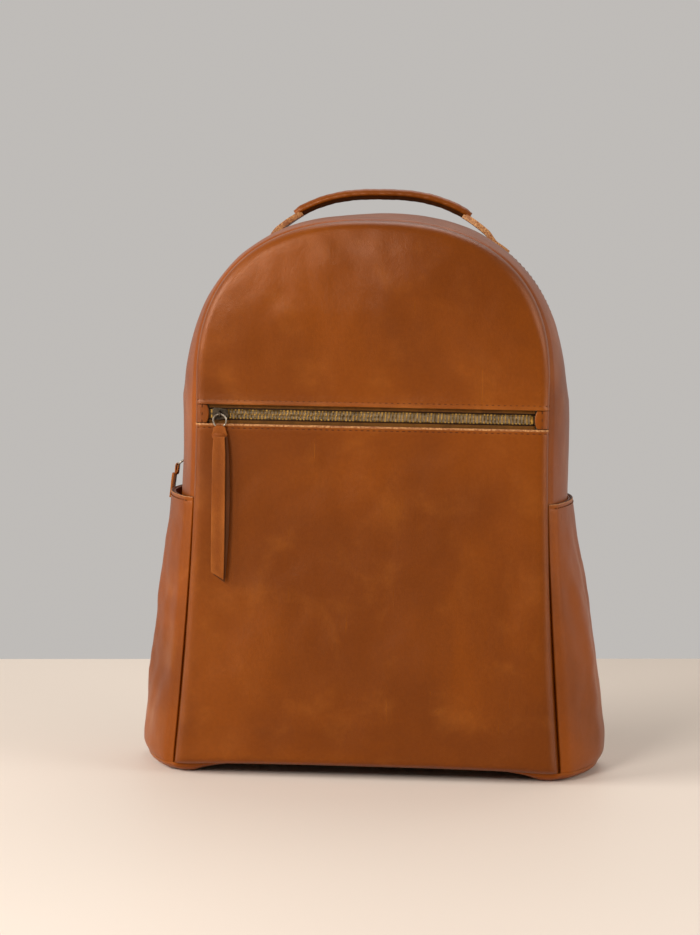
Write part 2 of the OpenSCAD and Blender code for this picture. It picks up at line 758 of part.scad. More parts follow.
module webbing(side) {
  tab_y = yoke_y + leather_t + layer_gap;
  outer = [
    for (s = steps(0, 1, 5)) [
      for (c = [-0.5, 0.5]) [
        side * (strap_low_x + (tab_x - strap_low_x) * s + c * webbing_w),
        adjuster_y + (tab_y - adjuster_y) * s,
        adjuster_z - layer_gap + (tab_z - adjuster_z) * s
      ]
    ]
  ];
  color("#5a3a20") slab(outer, moved(outer, [0, webbing_t, 0]));
}
module base_tab(side) {
  color(leather) translate([side * tab_x - tab_w / 2, yoke_y, tab_z - tab_h / 2]) cube([tab_w, leather_t, tab_h]);
}

back_panel();
back_padding();
back_lining();
laptop_sleeve();
strap_yoke();
rear_gusset();
rear_gusset_lining();
side_gusset(-1);  // side_gusset_left
side_gusset(1);  // side_gusset_right
gusset_corner(-1);  // gusset_corner_left
gusset_corner(1);  // gusset_corner_right
side_lining(-1);  // side_lining_left
side_lining(1);  // side_lining_right
side_pocket(-1);  // side_pocket_left
side_pocket(1);  // side_pocket_right
base_panel();
base_welt();
base_board();
base_lining();
front_lower_panel();
front_lower_lining();
front_pocket_bag();
main_tape_rear();
main_teeth_rear();
main_zip_feet();
handle_tab(-1);  // handle_tab_left
handle_tab(1);  // handle_tab_right
base_tab(-1);  // base_tab_left
base_tab(1);  // base_tab_right
front_upper_panel();
front_middle_panel();
front_gusset();
front_gusset_lining();
flap_lining();
front_pocket_throat();
front_tape(1);  // front_tape_upper
front_tape(-1);  // front_tape_lower
front_teeth(1);  // front_teeth_upper
front_teeth(-1);  // front_teeth_lower
front_zip_tab(-1);  // front_zip_tab_left
front_zip_tab(1);  // front_zip_tab_right
main_tape_front();
main_teeth_front();
front_slider();
front_pull_ring();
front_pull_strap();
main_slider();
main_pull_ring();
main_pull_strap();
handle_strap();
handle_grip();
handle_core();
strap(-1);  // strap_left
strap(1);  // strap_right
strap_pad(-1);  // strap_pad_left
strap_pad(1);  // strap_pad_right
adjuster(-1);  // adjuster_left
adjuster(1);  // adjuster_right
webbing(-1);  // webbing_left
webbing(1);  // webbing_right
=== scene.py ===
import json
import math

import bmesh
import bpy
import numpy as np
from bpy.props import FloatProperty, FloatVectorProperty, PointerProperty
from mathutils import Matrix, Vector, noise


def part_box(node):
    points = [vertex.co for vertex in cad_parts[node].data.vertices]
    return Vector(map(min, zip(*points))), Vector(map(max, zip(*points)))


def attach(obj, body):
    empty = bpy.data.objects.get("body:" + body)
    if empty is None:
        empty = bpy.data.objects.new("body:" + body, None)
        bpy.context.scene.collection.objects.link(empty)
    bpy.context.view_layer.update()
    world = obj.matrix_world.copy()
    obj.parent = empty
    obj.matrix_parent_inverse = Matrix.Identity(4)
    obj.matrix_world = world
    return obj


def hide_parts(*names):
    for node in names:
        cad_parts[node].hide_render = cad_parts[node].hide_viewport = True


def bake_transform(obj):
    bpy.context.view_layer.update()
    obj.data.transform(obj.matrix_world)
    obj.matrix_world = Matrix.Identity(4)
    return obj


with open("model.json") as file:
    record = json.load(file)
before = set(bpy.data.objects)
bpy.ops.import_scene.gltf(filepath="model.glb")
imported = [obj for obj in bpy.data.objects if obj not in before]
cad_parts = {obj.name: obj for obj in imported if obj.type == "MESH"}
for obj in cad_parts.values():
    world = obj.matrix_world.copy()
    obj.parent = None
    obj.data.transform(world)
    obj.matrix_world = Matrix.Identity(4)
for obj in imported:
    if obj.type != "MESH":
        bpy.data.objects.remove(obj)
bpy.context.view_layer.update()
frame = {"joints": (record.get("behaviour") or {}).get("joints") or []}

bl_info = {
    "name": "Tan leather backpack",
    "version": (1, 0, 0),
    "blender": (4, 5, 0),
    "location": "View3D > Sidebar > Backpack",
    "description": "Dresses the backpack's frame in leather, zips, stitching and lining",
    "category": "Object",
}

MM = 0.001
PLAY = 0.3 * MM
SHEET_STEP = 2.6 * MM
FOLD = 0.5 * MM
DENT_SIZE = 74 * MM
RAW_EDGE = 1.0 * MM
FOOT_LIFT = 1.6 * MM
BASE_LIFT = 11 * MM
STRAP_THICK = 11.0 * MM
# Tape this close to the chain's middle is painted dark: painted shade under and between the teeth.
TAPE_SHADE_ZONE = 4.6 * MM
TOOTH_SHIFT = 1.25 * MM
WEBBING_LAP = 6 * MM
WEBBING_HEAD = 26 * MM
SIDES = ((-1, "left"), (1, "right"))


def node_low(node):
    """Lowest corner of a frame node."""
    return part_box(node)[0]


def node_high(node):
    """Highest corner of a frame node."""
    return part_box(node)[1]


def joint_place(name):
    """Place of a joint of the frame."""
    return next(joint["pos_m"] for joint in frame["joints"] if joint["name"] == name)


def number(name, description, default, **kind):
    """A number that a user may change."""
    return FloatProperty(name=name, description=description, default=default, **kind)


def metres(name, description, default):
    """A size in metres that a user may change."""
    return number(name, description, default, unit="LENGTH", precision=4)


def rgb(name, description, default):
    """A colour, written as linear red, green and blue."""
    return FloatVectorProperty(
        name=name, description=description, default=default, subtype="COLOR", size=3, min=0, max=1
    )


class BagBody(bpy.types.PropertyGroup):
    """Sizes of the leather body."""

    base_w: metres("Base width", "Width of the front panel at the floor", 274 * MM)
    waist_w: metres(
        "Waist width", "Width of the front panel above its taper",
        node_high("front_upper_panel").x - node_low("front_upper_panel").x,
    )
    taper_z: metres("Taper height", "Height at which the taper of the sides ends", 246 * MM)
    arch_z: metres("Arch height", "Height at which the arch of the top begins", 280 * MM)
    top_z: metres("Top height", "Height of the front seam at its top", node_high("front_upper_panel").z)
    arch_power: number("Arch squareness", "2 is an ellipse", 2.42)
    front_y: metres("Front seam", "Place of the front seam", node_high("front_upper_panel").y - 2 * MM)
    back_y: metres("Back seam", "Place of the back seam", node_low("back_panel").y)
    face_y: metres("Front face", "Place of the flat of the front panel", node_low("front_upper_panel").y)
    side_bulge: metres("Side swell", "Swell of the gusset at the sides", 16 * MM)
    top_bulge: metres("Top swell", "Swell of the gusset at the top", 7 * MM)
    bulge_z: metres("Swell height", "Height at which the side swell begins to fade", 268 * MM)
    edge_roll: metres("Edge roll", "Width of the rolled edge of the front panel", 7 * MM)
    puff: metres("Fullness", "How far the front panel swells above its zip", 8 * MM)
    foot_puff: metres("Low fullness", "How far the front panel swells near its foot", 3 * MM)
    groove: metres("Seam groove", "How far the front panel sinks into its seam", 1.8 * MM)
    foot_roll: metres("Foot roll", "Height over which the front panel rolls under", 6 * MM)
    seam_z: metres("Base seam", "Height of the base seam", 6.5 * MM)
    leather_t: metres("Leather", "Thickness of the leather", 2 * MM)
    dent: metres("Dents", "Depth of the soft dents in the leather", 1.9 * MM)
    fold_z: metres("Fold", "Height of the line on which the front folds", joint_place("flap_open")[2])


class BagPockets(bpy.types.PropertyGroup):
    """Sizes of the side pockets."""

    hem_z: metres("Hem height", "Height of the pocket hem at the front seam", 197 * MM)
    rise: metres("Hem rise", "Rise of the hem towards the back", 2 * MM)
    lip: metres("Mouth", "Gape of the pocket mouths", 6 * MM)
    belly: metres("Belly", "Fullness of the pocket", 16 * MM)
    lean: metres("Uneven mouths", "How much less than the left mouth the right one gapes", 4.5 * MM)
    sway: metres("Uneven bellies", "How much fuller the right pocket is than the left", 5 * MM)
    curl: metres("Foot curl", "How far the pocket's foot would curl in at the ground", 13 * MM)
    curl_h: metres("Curl height", "Height where the foot begins to curl", 14.5 * MM)
    tuck: metres("Tuck", "How far the gusset draws in behind the pocket", 4 * MM)
    hem_w: metres("Hem", "Width of the folded hem", 9 * MM)


class BagZips(bpy.types.PropertyGroup):
    """Sizes of the two zips."""

    window_low: metres("Window bottom", "Lower edge of the zip window", node_high("front_middle_panel").z)
    window_high: metres("Window top", "Upper edge of the zip window", node_low("front_upper_panel").z)
    window_w: metres("Window length", "Length of the zip window", 2 * node_low("front_zip_tab_right").x)
    tooth_pitch: metres("Tooth pitch", "Pitch of the teeth of one row", 2.45 * MM)
    tooth_l: metres("Tooth length", "Length of a tooth across the chain", 3.8 * MM)
    tooth_w: metres("Tooth width", "Width of a tooth along the chain", 1.25 * MM)
    tooth_t: metres("Tooth thickness", "Thickness of a tooth", 2.1 * MM)
    main_y: metres("Main zip", "Place of the main zip from front to back", joint_place("main_ring_tilt")[1])
    main_gap: metres("Main zip width", "Width of the main zip between its leather edges", 16 * MM)
    end_z: metres("Zip end", "Height of the lower ends of the main zip", node_low("main_zip_feet").z)


class BagStitching(bpy.types.PropertyGroup):
    """Sizes of the stitching."""

    pitch: metres("Pitch", "Distance from stitch to stitch", 4.1 * MM)
    stitch_l: metres("Stitch", "Length of a stitch", 2.5 * MM)
    thread_d: metres("Thread", "Thickness of the thread", 0.75 * MM)
    edge: metres("Edge distance", "Distance of a stitch row from its edge", 3 * MM)


class BagCarry(bpy.types.PropertyGroup):
    """Sizes of the handle, the straps and the pulls."""

    handle_span: metres("Handle span", "Distance between the handle's sewn ends", 170 * MM)
    handle_rise: metres("Handle rise", "Rise of the handle above its ends", 31 * MM)
    handle_w: metres("Handle width", "Width of the handle's strap ends", 18 * MM)
    grip_share: number("Grip share", "Share of the handle that is rolled", 0.77)
    handle_power: number("Handle arch", "How square the handle's arch is", 2.6)
    grip_d: metres("Grip thickness", "Thickness of the rolled grip", 10 * MM)
    strap_spread: metres("Strap spread", "Distance between the straps at the yoke", 104 * MM)
    strap_splay: metres("Strap splay", "How far a strap leans outwards", 32 * MM)
    strap_w: metres("Strap width", "Width of a strap at the yoke", 62 * MM)
    strap_end_w: metres("Strap end", "Width of a strap at its lower end", 40 * MM)
    strap_bow: metres("Strap bow", "How far a strap stands off the back", 40 * MM)
    webbing_w: metres("Webbing", "Width of the webbing", 25 * MM)
    ring_wire: metres("Ring wire", "Thickness of the pull rings' wire", 1.2 * MM)
    pull_l: metres("Front pull", "Length of the front pull", 108 * MM)
    pull_w: metres("Pull width", "Width of the front pull", 9.4 * MM)
    main_pull_l: metres("Main pull", "Length of the main zip's pull", 26 * MM)


class BagColours(bpy.types.PropertyGroup):
    """Colours of the finishes, as linear values."""

    tan: rgb("Leather", "Main colour of the leather", (0.190, 0.0412, 0.0009))
    dark: rgb("Dark leather", "Colour of the dark patches", (0.118, 0.0235, 0.0006))
    light: rgb("Light leather", "Colour where the leather is pulled up", (0.33, 0.096, 0.012))
    # back is painted shade: dark leather for the pulls' rear layers, the seam grooves, the lifted base and the grip's
    # underside.
    back: rgb("Pull's back", "Colour of the rear layer of the pulls", (0.042, 0.0105, 0.0008))
    side: rgb("Side leather", "Main colour of the gusset and pockets", (0.236, 0.0510, 0.0014))
    sheen: rgb("Leather sheen", "Tint of the leather's sheen", (1.0, 0.56, 0.36))
    edge: rgb("Cut edge", "Colour of the cut leather edges", (0.60, 0.285, 0.088))
    thread: rgb("Thread", "Colour of the stitching", (0.070, 0.020, 0.004))
    tape: rgb("Zip tape", "Colour of the woven zip tape", (0.17, 0.060, 0.004))
    # Painted shade on the tape under and between the teeth.
    tape_dark: rgb("Dark tape", "Colour of the tape under the teeth", (0.028, 0.009, 0.001))
    brass: rgb("Brass", "Colour of the zip teeth", (0.66, 0.38, 0.085))
    metal: rgb("Dark metal", "Colour of the sliders, rings and adjusters", (0.10, 0.075, 0.05))
    ring: rgb("Rings", "Colour of the rings' wire", (0.48, 0.42, 0.34))
    lining: rgb("Lining", "Colour of the cotton lining", (0.30, 0.22, 0.13))
    webbing: rgb("Webbing", "Colour of the strap webbing", (0.085, 0.038, 0.014))
    floor: rgb("Floor", "Colour of the floor", (0.82, 0.70, 0.59))
    backdrop: rgb("Backdrop", "Colour of the backdrop", (0.52, 0.50, 0.48))


class BagStage(bpy.types.PropertyGroup):
    """Camera, light and floor."""

    azimuth: number("Azimuth", "Camera's turn to the right, in degrees", 3.34)
    elevation: number("Elevation", "Camera's height above the level, in degrees", 4.2)
    roll: number("Roll", "Camera's roll, in degrees", 0.99)
    distance: metres("Distance", "Distance from the camera to its target", 1.6)
    target: FloatVectorProperty(
        name="Target", description="Point the camera looks at", default=(-0.01837, 0, 0.21552),
        subtype="XYZ", unit="LENGTH",
    )
    lens: number("Lens", "Focal length in millimetres on a 36 mm frame", 84.1)
    key: number("Key light", "Power of the soft light on the left", 44, unit="POWER")
    window: number("Window", "Power of the light that the leather mirrors", 24, unit="POWER")
    fill: number("Fill light", "Power of the weak light on the right", 24.5, unit="POWER")
    sky: number("Room light", "Strength of the even light of the room", 0.14)
    table_y: metres("Table edge", "How far behind the bag the floor ends", 0.465)


SETTINGS = {
    "body": BagBody,
    "pockets": BagPockets,
    "zips": BagZips,
    "stitching": BagStitching,
    "carry": BagCarry,
    "colours": BagColours,
    "stage": BagStage,
}


def settings(name):
    """One of the scene's groups of sizes or colours."""
    return getattr(bpy.context.scene, f"bag_{name}")


def clamp01(t):
    """t held between 0 and 1."""
    return np.clip(t, 0.0, 1.0)


def smooth01(t):
    """A soft step from 0 to 1."""
    t = clamp01(t)
    return t * t * (3 - 2 * t)


def signed_power(wave, power):
    """A wave raised to a power with its sign kept, for rounded boxes and flat arches."""
    return np.sign(wave) * np.abs(wave) ** power


def grid_of(x, y, z):
    """A grid of points from its three coordinates, each spread over the others."""
    return np.stack(np.broadcast_arrays(x, y, z), -1)


def half_w(z):
    """Half the width of the front panel at a height."""
    body = settings("body")
    return body.waist_w / 2 + (body.base_w - body.waist_w) / 2 * clamp01(1 - z / body.taper_z) ** 1.8


def rim(q, off=0.0):
    """Rim points x, z at stations q: metres below the arch, degrees round it, then metres again."""
    body = settings("body")
    q, off = np.broadcast_arrays(np.asarray(q, float), np.asarray(off, float))
    side_z = body.arch_z + np.where(q < 0, q, 180 - q)
    turn = np.radians(np.clip(q, 0, 180))
    power = 2 / body.arch_power
    across = signed_power(np.cos(turn), power)
    arch_x = -(body.waist_w / 2 + off) * across
    arch_z = body.arch_z + (body.top_z - body.arch_z + off) * np.abs(np.sin(turn)) ** power
    side_x = np.where(q < 0, -1, 1) * (half_w(side_z) + off)
    on_side = (q < 0) | (q > 180)
    return np.where(on_side, side_x, arch_x), np.where(on_side, side_z, arch_z)


def bulge(z):
    """Swell of the gusset at a height of the rim."""
    body = settings("body")
    fade = (1 - clamp01((z - body.bulge_z) / (body.top_z - body.bulge_z))) ** 2.2
    tuck = settings("pockets").tuck * clamp01((zip_corner() - z) / (40 * MM))
    return body.top_bulge + (body.side_bulge - body.top_bulge) * fade - tuck


def swell(y):
    """Share of the swell from front to back."""
    body = settings("body")
    depth = body.back_y - body.front_y
    return np.maximum(0, np.sin(np.pi * clamp01((y - body.front_y) / depth))) ** 0.8


def gusset_point(q, y, inset=0.0):
    """Outer face of the gusset at a station and a depth."""
    q, y = np.broadcast_arrays(np.asarray(q, float), np.asarray(y, float))
    x, z = rim(q, bulge(rim(q)[1]) * swell(y) - inset)
    return grid_of(x, y, z)


def clear_of_seam(y):
    """0 in the front seam and 1 a little behind it."""
    body = settings("body")
    return smooth01((y - body.front_y - body.leather_t) / (5 * MM))


def front_seam():
    """Depth just behind the front seam, where the sides begin."""
    body = settings("body")
    return body.front_y + body.leather_t + PLAY


def zip_edges():
    """Depths of the leather edges before and behind the main zip."""
    zips = settings("zips")
    return zips.main_y - zips.main_gap / 2, zips.main_y + zips.main_gap / 2


def zip_corner():
    """Height of the seam below the main zip's ends."""
    return settings("zips").end_z - 2.5 * MM


def quarter_round(distance, radius):
    """Rise of a rolled edge at a distance from it."""
    return np.sqrt(np.maximum(0, 1 - (1 - np.minimum(distance, radius) / radius) ** 2))


def face_point(x, z):
    """Outer face of the front panel."""
    body = settings("body")
    x, z = np.broadcast_arrays(np.asarray(x, float), np.asarray(z, float))
    over = np.maximum(0, (z - body.arch_z) / (body.top_z - body.arch_z))
    arch = ((np.abs(x) / (body.waist_w / 2)) ** body.arch_power + over ** body.arch_power) ** (1 / body.arch_power)
    share = np.where(z <= body.arch_z, np.abs(x) / half_w(z), arch)
    inward = np.maximum(0, 1 - share) * half_w(z)
    roll = quarter_round(inward, body.edge_roll) * quarter_round(np.maximum(0, z - body.seam_z), body.foot_roll)
    zip_top, soft = settings("zips").window_high, quarter_round(inward, 60 * MM)
    full = body.puff * smooth01((z - zip_top - 8 * MM) / (60 * MM)) * soft
    full = full + body.foot_puff * smooth01((125 * MM - z) / (60 * MM)) * soft * roll
    sunk = body.groove * (1 - clamp01(inward / (1.6 * MM))) ** 2
    return grid_of(x, body.front_y - (body.front_y - body.face_y) * roll - full + sunk, z)


def base_lift(x, y, height=BASE_LIFT):
    """How far the base stands off the floor: arched up in the middle of the front, down at its corners."""
    body = settings("body")
    across = clamp01(1 - (np.abs(x) / (body.base_w / 2 - 14 * MM)) ** 3.2) ** 0.8
    return height * across * smooth01(np.asarray(y) / body.front_y)


def hem_height(y):
    """Height of the pocket hem at a depth."""
    body, pockets = settings("body"), settings("pockets")
    return pockets.hem_z + pockets.rise * (y - body.front_y) / (body.back_y - body.front_y)


def pocket_point(side, z, y, out=0.0):
    """A point of a side pocket; out is measured from its inner face."""
    body, pockets = settings("body"), settings("pockets")
    z, y = np.broadcast_arrays(np.asarray(z, float), np.asarray(y, float))
    belly = np.sin(np.radians(120) * clamp01(1 - z / hem_height(y)) ** 1.25)
    lip = pockets.lip - pockets.lean * (side > 0)
    curl = pockets.curl * clamp01(1 - z / pockets.curl_h) ** 2
    full = lip + (pockets.belly + side * pockets.sway / 2 - lip) * belly - curl
    tucked = clear_of_seam(y)
    seam = (PLAY + out) * tucked - 1.2 * MM * (1 - tucked)
    x = side * (half_w(z) + (body.side_bulge + full) * swell(y) + seam)
    return grid_of(x, y, z)


def even_stations(z0, count):
    """Stations at even distances along the rim, from a height on the left over the arch to it on the right."""
    below = settings("body").arch_z - z0
    turn = 90 - 90 * np.cos(np.linspace(0, np.pi, 1500))
    q = np.concatenate([np.linspace(-below, 0, 300, endpoint=False), turn, 180 + np.linspace(0, below, 301)[1:]])
    x, z = rim(q)
    run = np.concatenate([[0], np.cumsum(np.hypot(np.diff(x), np.diff(z)))])
    return np.interp(np.linspace(0, run[-1], count), run, q)


def side_station(side, z):
    """Station at a height on the left (-1) or right (1) side."""
    arch_z = settings("body").arch_z
    return np.asarray(z) - arch_z if side < 0 else 180 + arch_z - np.asarray(z)


def spaced(length, step, marks=(0.0, 0.5, 1.4, 2.4, 3.0, 3.6, 4.6, 6.2, 8.4)):
    """Places from 0 to length: even in the middle, and close at both edges where seams and stitches lie."""
    edge = np.array(marks) * MM
    count = max(1, round((length - 2 * edge[-1]) / step))
    middle = np.linspace(edge[-1], length - edge[-1], count + 1)
    return np.concatenate([edge[:-1], middle, length - edge[-2::-1]])


def grid_normals(points):
    """Unit normals of a point grid."""
    down = np.gradient(points, axis=0)
    across = np.gradient(points, axis=1)
    normals = np.cross(across, down)
    return normals / np.maximum(np.linalg.norm(normals, axis=-1, keepdims=True), 1e-12)


def grid_runs(points):
    """Distances along the columns and along the rows of a point grid."""
    along = np.linalg.norm(np.diff(points, axis=1), axis=-1)
    down = np.linalg.norm(np.diff(points, axis=0), axis=-1)
    u = np.pad(np.cumsum(along, axis=1), ((0, 0), (1, 0)))
    v = np.pad(np.cumsum(down, axis=0), ((1, 0), (0, 0)))
    return u, v


def border_distance(points, sides="lrtb"):
    """Distance of each grid point from the nearest of the named borders."""
    u, v = grid_runs(points)
    far = np.full(u.shape, 1.0)
    choices = {"l": u, "r": u[:, -1:] - u, "t": v, "b": v[-1:, :] - v}
    for side in sides:
        far = np.minimum(far, choices[side])
    return far


def dented(points, depth, scale, seed, hold):
    """The grid with soft dents along its normals; hold is 1 where nothing moves."""
    normals = grid_normals(points)
    moved = points.copy()
    offset = Vector((seed * 3.7, seed * 1.3, seed * 2.1))
    for index in np.ndindex(points.shape[:2]):
        place = Vector(points[index]) / scale + offset
        wave = noise.noise(place) + 0.45 * noise.noise(place * 2.3) + 0.2 * noise.noise(place * 5.1)
        moved[index] += normals[index] * depth * wave * (1 - hold[index])
    return moved


def new_object(name, data):
    """A new object at the origin."""
    obj = bpy.data.objects.new(name, data)
    bpy.context.scene.collection.objects.link(obj)
    return obj


def settle(obj):
    """Turns an object's modifiers into plain mesh."""
    graph = bpy.context.evaluated_depsgraph_get()
    mesh = bpy.data.meshes.new_from_object(
        obj.evaluated_get(graph), preserve_all_data_layers=True, depsgraph=graph
    )
    old = obj.data
    obj.modifiers.clear()
    obj.data = mesh
    bpy.data.meshes.remove(old)
    mesh.name = obj.name
    return obj


def grid_mesh(name, points, edge=None, wrap=False):
    """A mesh over a point grid, with UVs in metres and the closeness to an edge as an attribute."""
    rows, cols = points.shape[:2]
    index = np.arange(rows * cols).reshape(rows, cols)
    u, v = grid_runs(points)
    if wrap:
        index = np.concatenate([index, index[:, :1]], axis=1)
        last = np.linalg.norm(points[:, 0] - points[:, -1], axis=-1)[:, None]
        u = np.concatenate([u, u[:, -1:] + last], axis=1)
        v = np.concatenate([v, v[:, :1]], axis=1)
    corners = [(slice(None, -1), slice(None, -1)), (slice(None, -1), slice(1, None))]
    corners += [(slice(1, None), slice(1, None)), (slice(1, None), slice(None, -1))]
    faces = np.stack([index[c] for c in corners], -1).reshape(-1, 4)
    uvs = np.stack([np.stack([u[c], v[c]], -1) for c in corners], -2).reshape(-1, 2)
    mesh = bpy.data.meshes.new(name)
    mesh.from_pydata(points.reshape(-1, 3).tolist(), [], faces.tolist())
    layer = mesh.uv_layers.new(name="UVMap")
    layer.data.foreach_set("uv", uvs.astype(np.float32).ravel())
    near = np.zeros(rows * cols) if edge is None else edge.ravel()
    mesh.attributes.new("edge", "FLOAT", "POINT").data.foreach_set("value", near.astype(np.float32))
    mesh.polygons.foreach_set("use_smooth", np.ones(len(mesh.polygons), bool))
    return mesh


def leather_sheet(
    name, points, finish, thickness=None, borders="lrtb", stitched="", dent=0.0, seed=1, fold=FOLD,
    rim_finish=None, raw="", size=DENT_SIZE, seam="",
):
    """A sheet over a grid of its outer face: dented, sunk at its stitch rows, thickened inwards.

    It is as thick as the leather unless told otherwise. Borders are where it is rubbed pale, raw ones take the
    cut-edge finish on a thin band of the front too, and seams get a thin band of painted shade for the shade in their
    groove.
    """
    stitching = settings("stitching")
    far = border_distance(points)
    if dent:
        points = dented(points, dent, size, seed, 1 - smooth01(far / (26 * MM)))
    if stitched:
        row = border_distance(points, stitched)
        sink = np.exp(-((row - stitching.edge) / (0.9 * MM)) ** 2) * 0.28 * MM
        points = points - grid_normals(points) * sink[..., None]
    near = 1 - clamp01(border_distance(points, borders) / (7 * MM)) if borders else np.zeros(far.shape)
    obj = new_object(name, grid_mesh(name, points, near))
    slots = np.zeros((far.shape[0] - 1, far.shape[1] - 1), np.int32)
    # Slot 2 is the cut-edge finish on raw borders; slot 3 is painted shade, a dark band along seams for the shade in
    # their groove.
    for sides, slot in ((raw, 2), (seam, 3)):
        if sides:
            bare = border_distance(points, sides)
            slots[(bare[:-1, :-1] + bare[1:, 1:]) / 2 < RAW_EDGE] = slot
    obj.data.polygons.foreach_set("material_index", slots.ravel())
    rim_finish = rim_finish or ("cut edge" if finish == "strap leather" else finish)
    for look in (finish, rim_finish, "cut edge", "pull back"):
        obj.data.materials.append(material(look))
    solid = obj.modifiers.new("thickness", "SOLIDIFY")
    solid.thickness = thickness or settings("body").leather_t
    solid.offset = -1
    solid.use_rim = True
    solid.material_offset_rim = 1
    return rounded_edges(obj, fold, 2, 62)


def dress(obj, body, slot, *nodes):
    """Hands a finished piece to the frame: it rides on a body and stands for these nodes."""
    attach(obj, body)
    if nodes:
        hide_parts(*nodes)
    return obj


def drape(obj, bodies, slot, start, end, *nodes):
    """Keeps a finished piece in place and hides the nodes it stands for; the two bodies are not used."""
    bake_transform(obj)
    if nodes:
        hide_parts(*nodes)
    return obj


def discard(obj):
    """Takes a helper object and its mesh away."""
    data = obj.data
    bpy.data.objects.remove(obj)
    bpy.data.meshes.remove(data)


def capped(points, shrink):
    """A tube's rings with smaller ones at both ends; shrink gives their sizes from the tip inwards."""
    centre = points.mean(axis=1, keepdims=True)
    ends = [[centre[i] + (points[i] - centre[i]) * k for k in shrink] for i in (0, -1)]
    return np.concatenate([ends[0], points, ends[1][::-1]])


def shaped(name, points, finish, edge=None, wrap=True):
    """An object over a point grid, in one finish."""
    mesh = grid_mesh(name, points, edge, wrap)
    mesh.materials.append(material(finish))
    return new_object(name, mesh)


def rounded_edges(obj, width, segments, angle, harden=False):
    """A bevel on an object's sharp edges, turned into plain mesh."""
    bevel = obj.modifiers.new("rounded edges", "BEVEL")
    bevel.width = width
    bevel.segments = segments
    bevel.limit_method = "ANGLE"
    bevel.angle_limit = math.radians(angle)
    bevel.harden_normals = harden
    return settle(obj)


def joined(name, objects):
    """One mesh object out of several, with their materials kept."""
    slots = []
    for obj in objects:
        for mat in obj.data.materials:
            if mat not in slots:
                slots.append(mat)
    builder = bmesh.new()
    for obj in objects:
        before = len(builder.faces)
        builder.from_mesh(obj.data)
        builder.faces.ensure_lookup_table()
        for face in builder.faces[before:]:
            face.material_index = slots.index(obj.data.materials[face.material_index])
    mesh = bpy.data.meshes.new(name)
    builder.to_mesh(mesh)
    builder.free()
    for mat in slots:
        mesh.materials.append(mat)
    for obj in objects:
        discard(obj)
    return new_object(name, mesh)


def tube(name, path, radius, finish, sides=16):
    """A round tube along a path, closed at its ends."""
    path = np.asarray(path, float)
    tangents = np.gradient(path, axis=0)
    tangents /= np.linalg.norm(tangents, axis=1, keepdims=True)
    side = np.cross(tangents, (0.0, 1, 0))
    side /= np.linalg.norm(side, axis=1, keepdims=True)
    other = np.cross(tangents, side)
    turn = np.linspace(0, 2 * np.pi, sides, endpoint=False)
    ring = side[:, None] * np.cos(turn)[None, :, None] + other[:, None] * np.sin(turn)[None, :, None]
    points = path[:, None] + ring * radius
    first, last = (np.repeat(path[i, None][None], sides, axis=1) for i in (0, -1))
    points = np.concatenate([first, points, last])
    return shaped(name, points[:, ::-1], finish)


def rounded_solid(name, builder, finish, width, segments=3):
    """A bmesh solid as an object with all its edges rounded."""
    mesh = bpy.data.meshes.new(name)
    builder.to_mesh(mesh)
    builder.free()
    mesh.materials.append(material(finish))
    mesh.polygons.foreach_set("use_smooth", np.ones(len(mesh.polygons), bool))
    return rounded_edges(new_object(name, mesh), width, segments, 30, harden=True)


def add_block(builder, low, high):
    """A rectangular block between two corners."""
    low, high = Vector(low), Vector(high)
    place = Matrix.Translation((low + high) / 2) @ Matrix.Diagonal((high - low).to_4d())
    place[3][3] = 1
    return bmesh.ops.create_cube(builder, size=1, matrix=place)["verts"]


def node_group(name, kind, inputs, outputs):
    """A new node group; gives its tree and the sockets of its input and output nodes."""
    tree = bpy.data.node_groups.new(name, kind)
    for way, sockets in (("INPUT", inputs), ("OUTPUT", outputs)):
        for socket, value in sockets.items():
            tree.interface.new_socket(socket, in_out=way, socket_type=f"NodeSocket{value}")
    return tree, tree.nodes.new("NodeGroupInput").outputs, tree.nodes.new("NodeGroupOutput").inputs


def feed(tree, socket, value):
    """Links a socket to another one, or sets its value."""
    if isinstance(value, bpy.types.NodeSocket):
        tree.links.new(value, socket)
    else:
        socket.default_value = value


def add_node(tree, kind, values=None, **attributes):
    """Adds a node to a tree and sets or links its inputs."""
    node = tree.nodes.new(kind)
    for key, value in attributes.items():
        setattr(node, key, value)
    for key, value in (values or {}).items():
        feed(tree, node.inputs[key], value)
    return node


def ranged(tree, value, low, high, to_low=0.0, to_high=1.0):
    """A value mapped from one range to another with a soft step."""
    values = {"Value": value, "From Min": low, "From Max": high, "To Min": to_low, "To Max": to_high}
    return add_node(tree, "ShaderNodeMapRange", values, interpolation_type="SMOOTHSTEP").outputs["Result"]


def mixed(tree, factor, first, second, blend="MIX"):
    """A colour mix."""
    values = {0: factor, 6: first, 7: second}
    return add_node(tree, "ShaderNodeMix", values, data_type="RGBA", blend_type=blend).outputs[2]


def speckle(tree, place, scale, detail=2, roughness=0.5, distortion=0.0):
    """Cloudy noise at a place."""
    values = {"Vector": place, "Scale": scale, "Detail": detail, "Roughness": roughness, "Distortion": distortion}
    return add_node(tree, "ShaderNodeTexNoise", values).outputs[0]


def streaks(tree, place, turn, stretch, detail, roughness=0.5):
    """Noise drawn out into fine lines."""
    lines = add_node(tree, "ShaderNodeMapping", {"Vector": place, "Rotation": turn, "Scale": stretch})
    return speckle(tree, lines.outputs[0], 1, detail, roughness)


def bumps(tree, height, strength, distance):
    """A normal from a height."""
    values = {"Strength": strength, "Distance": distance, "Height": height}
    return add_node(tree, "ShaderNodeBump", values).outputs[0]


def grey(tree, value):
    """A value as a colour."""
    return add_node(tree, "ShaderNodeCombineColor", {i: value for i in range(3)}).outputs[0]


